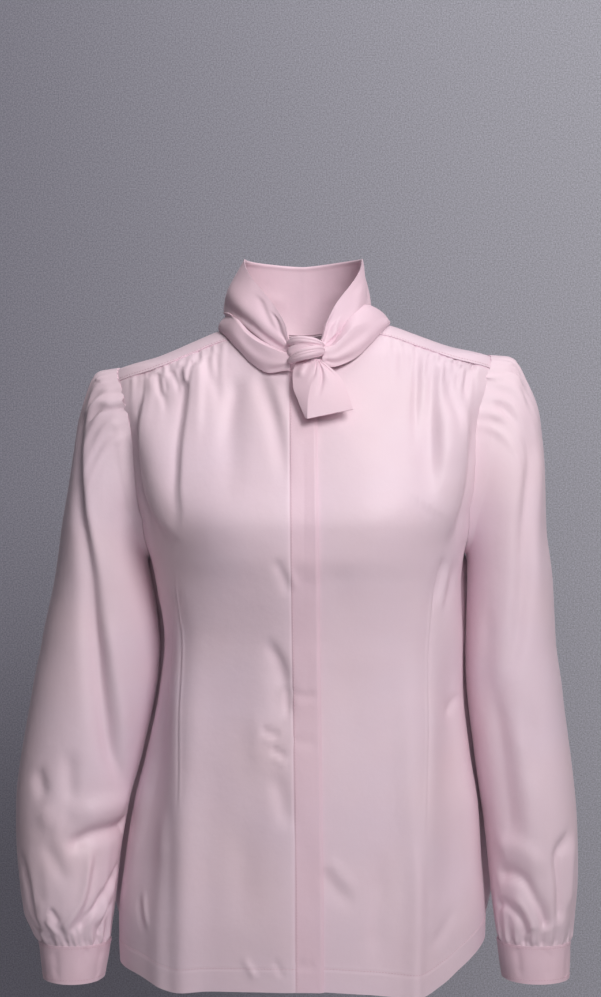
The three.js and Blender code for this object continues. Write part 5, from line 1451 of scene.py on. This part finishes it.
def buttonMesh(name, centre, normal, radius, thick):
    normal = np.array(normal, float) / np.linalg.norm(normal)
    up = np.array([0, 0, 1.0])
    across = np.cross(up, normal)
    across /= np.linalg.norm(across)
    up = np.cross(normal, across)
    rings = [(0.0, 0.10), (0.22, 0.10), (0.45, 0.13), (0.66, 0.20), (0.76, 0.40), (0.86, 0.5), (0.95, 0.44),
             (1.0, 0.25), (1.0, -0.2), (0.95, -0.4), (0.8, -0.5), (0.0, -0.5)]
    b = buttons
    hole = b["holeAt"]
    turns = np.arange(b["sides"]) * 2 * np.pi / b["sides"]
    points, faces = [], []
    for share, height in rings:
        for turn in turns:
            u, v = share * radius * np.cos(turn), share * radius * np.sin(turn)
            dip = 0
            for hx, hy in ((1, 1), (1, -1), (-1, 1), (-1, -1)):
                dip = max(dip, math.exp(-((u - hx * hole) ** 2 + (v - hy * hole) ** 2) / b["holeSize"]))
            h = (height - (b["holeDip"] * dip if height > 0 and share < 0.6 else 0)) * thick
            points.append(centre + across * u + up * v + normal * h)
    count = len(turns)
    for r in range(len(rings) - 1):
        for i in range(count):
            j = (i + 1) % count
            faces.append([r * count + i, (r + 1) * count + i, (r + 1) * count + j, r * count + j])
    # two bars of thread between the holes
    for offset in (-hole, hole):
        base = len(points)
        for s in np.linspace(-1, 1, 9):
            for turn in np.arange(6) * math.pi / 3:
                height = 0.16 * thick + 0.35 * (1 - s * s)
                p = centre + across * (hole * s) + up * offset + normal * height
                points.append(p + b["threadRadius"] * (up * math.cos(turn) + normal * math.sin(turn)))
        for r in range(8):
            for i in range(6):
                j = (i + 1) % 6
                faces.append([base + r * 6 + i, base + r * 6 + j, base + (r + 1) * 6 + j, base + (r + 1) * 6 + i])
    piece = meshObject(name, np.array(points), faces, None, pearl)
    piece.data.materials.append(thread)
    for polygon in piece.data.polygons:
        if polygon.index >= (len(rings) - 1) * count:
            polygon.material_index = 1
    return piece


def makeButtons():
    b = buttons
    for i in range(b["frontCount"]):
        node = f"front_button_{i + 1}"
        low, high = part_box(node)
        centre = np.array((low + high) / 2) / mm
        step = 4.0
        x, z = np.array([centre[0]]), np.array([centre[2]])
        across = frontSurface(x + step, z, np.zeros(1)) - frontSurface(x - step, z, np.zeros(1))
        up = frontSurface(x, z + step, np.zeros(1)) - frontSurface(x, z - step, np.zeros(1))
        normal = np.cross(across[0], up[0])
        disc = buttonMesh(f"front_button_{i + 1}_pearl", centre, normal, b["frontRadius"], b["frontThick"])
        finishPiece(disc, "button", node)
    for name in ("right", "left"):
        node = f"cuff_button_{name}"
        low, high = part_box(node)
        centre = np.array((low + high) / 2) / mm
        side = 1 if name == "left" else -1
        ring = sleeveRings[name](centre[2])
        normal = np.array([centre[0] - side * float(ring.across), centre[1] - float(ring.depth), 0])
        normal[2] = b["cuffTilt"] * np.linalg.norm(normal)
        disc = buttonMesh(f"cuff_button_{name}_pearl", centre, normal, b["cuffRadius"], b["cuffThick"])
        finishPiece(disc, "button", node)


makeButtons()
print("buttons ready")


# ---- sewn lines

def makeStitching():
    rows = []
    # hem, just under the top of the turned-up band, on the fronts and the back
    hemRow = np.array([form["hemZ"] + fronts["hemBand"] - 1.5])
    for side in (-1, 1):
        inner = (lambda z: centreLine(z) - 12.0) if side < 0 else (lambda z: centreLine(z) - 8.0)
        lift = rightLift if side < 0 else (lambda x, z: 0 * x)
        line = frontGrid(side, np.linspace(0.0, 0.995, 260), hemRow, inner, lift)[0]
        rows.append(stitchRow(line, facing(line[:, 0], line[:, 1], line[:, 2])))
    line = backGrid(np.linspace(-0.995, 0.995, 420), hemRow)[0]
    rows.append(stitchRow(line, facing(line[:, 0], line[:, 1], line[:, 2])))
    finishPiece(threadPiece("stitching_hem", rows, thread), "blouse_cloth")
    # placket, 2.5 mm in from its sewn edge
    down = np.linspace(0.012, 0.992, 420)
    line = placketPoint(np.full(420, -0.84), down)
    rows = [stitchRow(line, facing(line[:, 0], line[:, 1], line[:, 2]))]
    finishPiece(threadPiece("stitching_placket", rows, thread), "doubled_cloth")
    # yoke, 1.5 mm in from its front and back seams
    rows = []
    for turnAt in (0.006, 0.994):
        away = np.linspace(0.03, 0.985, 200)
        line, normal = yokeSurface(np.full(200, turnAt), away)
        rows.append(stitchRow(line, normal))
    turn = np.linspace(0.275, 0.725, 400)
    line, normal = yokeSurface(turn, np.full(400, 0.985))
    rows.append(stitchRow(line, normal))
    finishPiece(threadPiece("stitching_yoke", rows, thread), "doubled_cloth")
    # cuffs, near both long edges
    for name in ("right", "left"):
        side = 1 if name == "left" else -1
        rows = []
        for z in (-615.0, -646.0):
            turn = np.linspace(2, cuffs["wrap"] - 2, 320)
            line = cuffPoint(name, turn, np.full(320, z), 0.4)
            ring = sleeveRings[name](line[:, 2])
            normal = stack(line[:, 0] - side * ring.across, line[:, 1] - ring.depth, 0 * ring.across)
            rows.append(stitchRow(line, normal))
        finishPiece(threadPiece(f"stitching_cuff_{name}", rows, thread), "doubled_cloth")


makeStitching()
print("stitching ready")


# ---- what each sheet was cut to

# rows: piece, cut width and length in metres, share of that rectangle, how it is held, what it rests on
sheets = [
    (frontRight, 0.30, 0.66, 0.80, "hung", ["yoke_cloth"]),
    (frontLeft, 0.30, 0.66, 0.82, "hung", ["yoke_cloth"]),
    (backCloth, 0.50, 0.58, 0.86, "hung", ["yoke_cloth"]),
    (yokeCloth, 0.42, 0.22, 0.80, "hung", ["collar_stand_cloth"]),
    (placketBand, 0.03, 0.64, 1.0, "folded", ["front_left_cloth"]),
    (sleeveRight, 0.42, 0.62, 0.84, "gathered", ["yoke_cloth"]),
    (sleeveLeft, 0.42, 0.62, 0.84, "gathered", ["yoke_cloth"]),
    (cuffRight, 0.235, 0.038, 1.0, "folded", ["sleeve_right_cloth"]),
    (cuffLeft, 0.235, 0.038, 1.0, "folded", ["sleeve_left_cloth"]),
    (collarStand, 0.42, 0.09, 0.85, "folded", ["yoke_cloth"]),
    (tieBand, 0.50, 0.032, 0.9, "folded", ["yoke_cloth"]),
    (tailFront, 0.06, 0.065, 0.75, "folded", ["tie_knot_wrap"]),
    (tailBack, 0.05, 0.05, 0.75, "folded", ["tie_knot_wrap"]),
]
for piece, width, length, share, held, restsOn in sheets:
    round(width * length * share, 5)
    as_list(restsOn)


# ---- floor, backdrop, light and camera

stage = {
    "floorZ": -1.4, "floorRadius": 1.9, "wallY": 0.95, "keyPower": 30, "sidePower": 7,
    "frontPower": 7, "topPower": 13, "behindPower": 10, "worldLight": 0.05,
    "wallHalf": 1.6, "wallTop": 1.2, "floorColour": (222, 220, 224), "aim": (0, 0, -0.3),
}


# grained matt finish; a second colour unlike the first paints light onto it, lighter towards the right where the
# lamps are
def plainFinish(name, colour, litRightColour, grainSize, grainDepth, seeThroughBehind=False):
    f = Finish(name)
    place = f.node("ShaderNodeTexCoord", {}, {}, output="Object")
    grain = f.noise(place, grainSize, 3, 0.7)
    # painted light: the colour runs from the first colour at the left to the lit second colour at the right
    paintedLightToRight = f.node("ShaderNodeSeparateXYZ", {}, {0: place}, output="X") * 1.1 + 0.5
    base = f.blend(fromScreen(*colour), fromScreen(*litRightColour), paintedLightToRight)
    dark = f.blend(fromScreen(*[c * grainDepth for c in colour]), fromScreen(*[c * grainDepth for c in litRightColour]),
                   paintedLightToRight)
    shade = f.blend(base, dark, grain * 2.4 - 0.7)
    shader = f.node("ShaderNodeBsdfPrincipled", {}, {"Base Color": shade, "Roughness": 0.9,
                                                     "Specular IOR Level": 0.1})
    end = f.tree.nodes.new("ShaderNodeOutputMaterial")
    if seeThroughBehind:
        behind = f.node("ShaderNodeNewGeometry", {}, {}, output="Backfacing")
        clear = f.node("ShaderNodeBsdfTransparent")
        shader = f.node("ShaderNodeMixShader", {}, {0: behind, 1: shader, 2: clear})
    f.tree.links.new(shader.socket, end.inputs["Surface"])
    return f.material


def makeStage():
    p = stage
    turns = np.linspace(0, 2 * np.pi, 96, endpoint=False)
    ring = np.stack([np.cos(turns) * p["floorRadius"], np.sin(turns) * p["floorRadius"], 0 * turns + p["floorZ"]], -1)
    pale = plainFinish("floor_pale", p["floorColour"], p["floorColour"], 160, 0.93)
    floor = meshObject("floor", ring / mm, [list(range(len(turns)))], None, pale)
    half, low, high = p["wallHalf"], p["floorZ"], p["wallTop"]
    corners = np.array([[-half, p["wallY"], low], [half, p["wallY"], low], [half, p["wallY"], high],
                        [-half, p["wallY"], high]])
    # the backdrop is painted darker at the left and lighter at the right, a painted fall-off of the light from the
    # right; the noise grain is the wall's own texture
    wall = meshObject("backdrop", corners / mm, [[0, 1, 2, 3]], None,
                      plainFinish("backdrop_grey_painted_light_fade", (180, 178, 192), (210, 209, 220), 480, 0.70,
                                  seeThroughBehind=True))


def addLight(name, place, aim, size, power, colour):
    light = bpy.data.lights.new(name, "AREA")
    light.shape, light.size, light.energy, light.color = "DISK", size, power, colour
    lamp = bpy.data.objects.new(name, light)
    lamp.location = place
    direction = np.array(aim) - np.array(place)
    lamp.rotation_euler = Vector(direction).to_track_quat("-Z", "Y").to_euler()
    bpy.context.scene.collection.objects.link(lamp)


def makeWorld():
    world = bpy.data.worlds.new("studio")
    world.use_nodes = True
    back = world.node_tree.nodes["Background"]
    back.inputs["Color"].default_value = (0.80, 0.80, 0.88, 1)
    back.inputs["Strength"].default_value = stage["worldLight"]
    bpy.context.scene.world = world


makeStage()
makeWorld()
addLight("key", (0.75, -1.7, 0.95), stage["aim"], 0.9, stage["keyPower"], (1.0, 0.985, 0.975))
addLight("side", (1.3, -0.9, 1.6), stage["aim"], 0.9, stage["sidePower"], (1.0, 0.99, 0.985))
addLight("front", (0.0, -2.05, 0.3), stage["aim"], 0.9, stage["frontPower"], (0.98, 0.98, 1.0))
addLight("top", (0.2, 0.2, 1.9), stage["aim"], 1.2, stage["topPower"], (1.0, 0.99, 1.0))
addLight("behind", (-0.9, 1.9, 0.7), stage["aim"], 1.2, stage["behindPower"], (0.96, 0.97, 1.0))

# the photo's view, in metres: a level camera a little below the chest
view = {"sensor": 36, "lens": 67.26, "place": (-0.0036, -1.9, -0.167)}
camera = bpy.data.cameras.new("camera")
camera.sensor_width, camera.lens = view["sensor"], view["lens"]
cameraObject = bpy.data.objects.new("camera", camera)
cameraObject.location = view["place"]
cameraObject.rotation_euler = (math.pi / 2, 0, 0)
bpy.context.scene.collection.objects.link(cameraObject)
bpy.context.scene.camera = cameraObject
bpy.context.scene.view_settings.view_transform = "Standard"
print("stage ready")
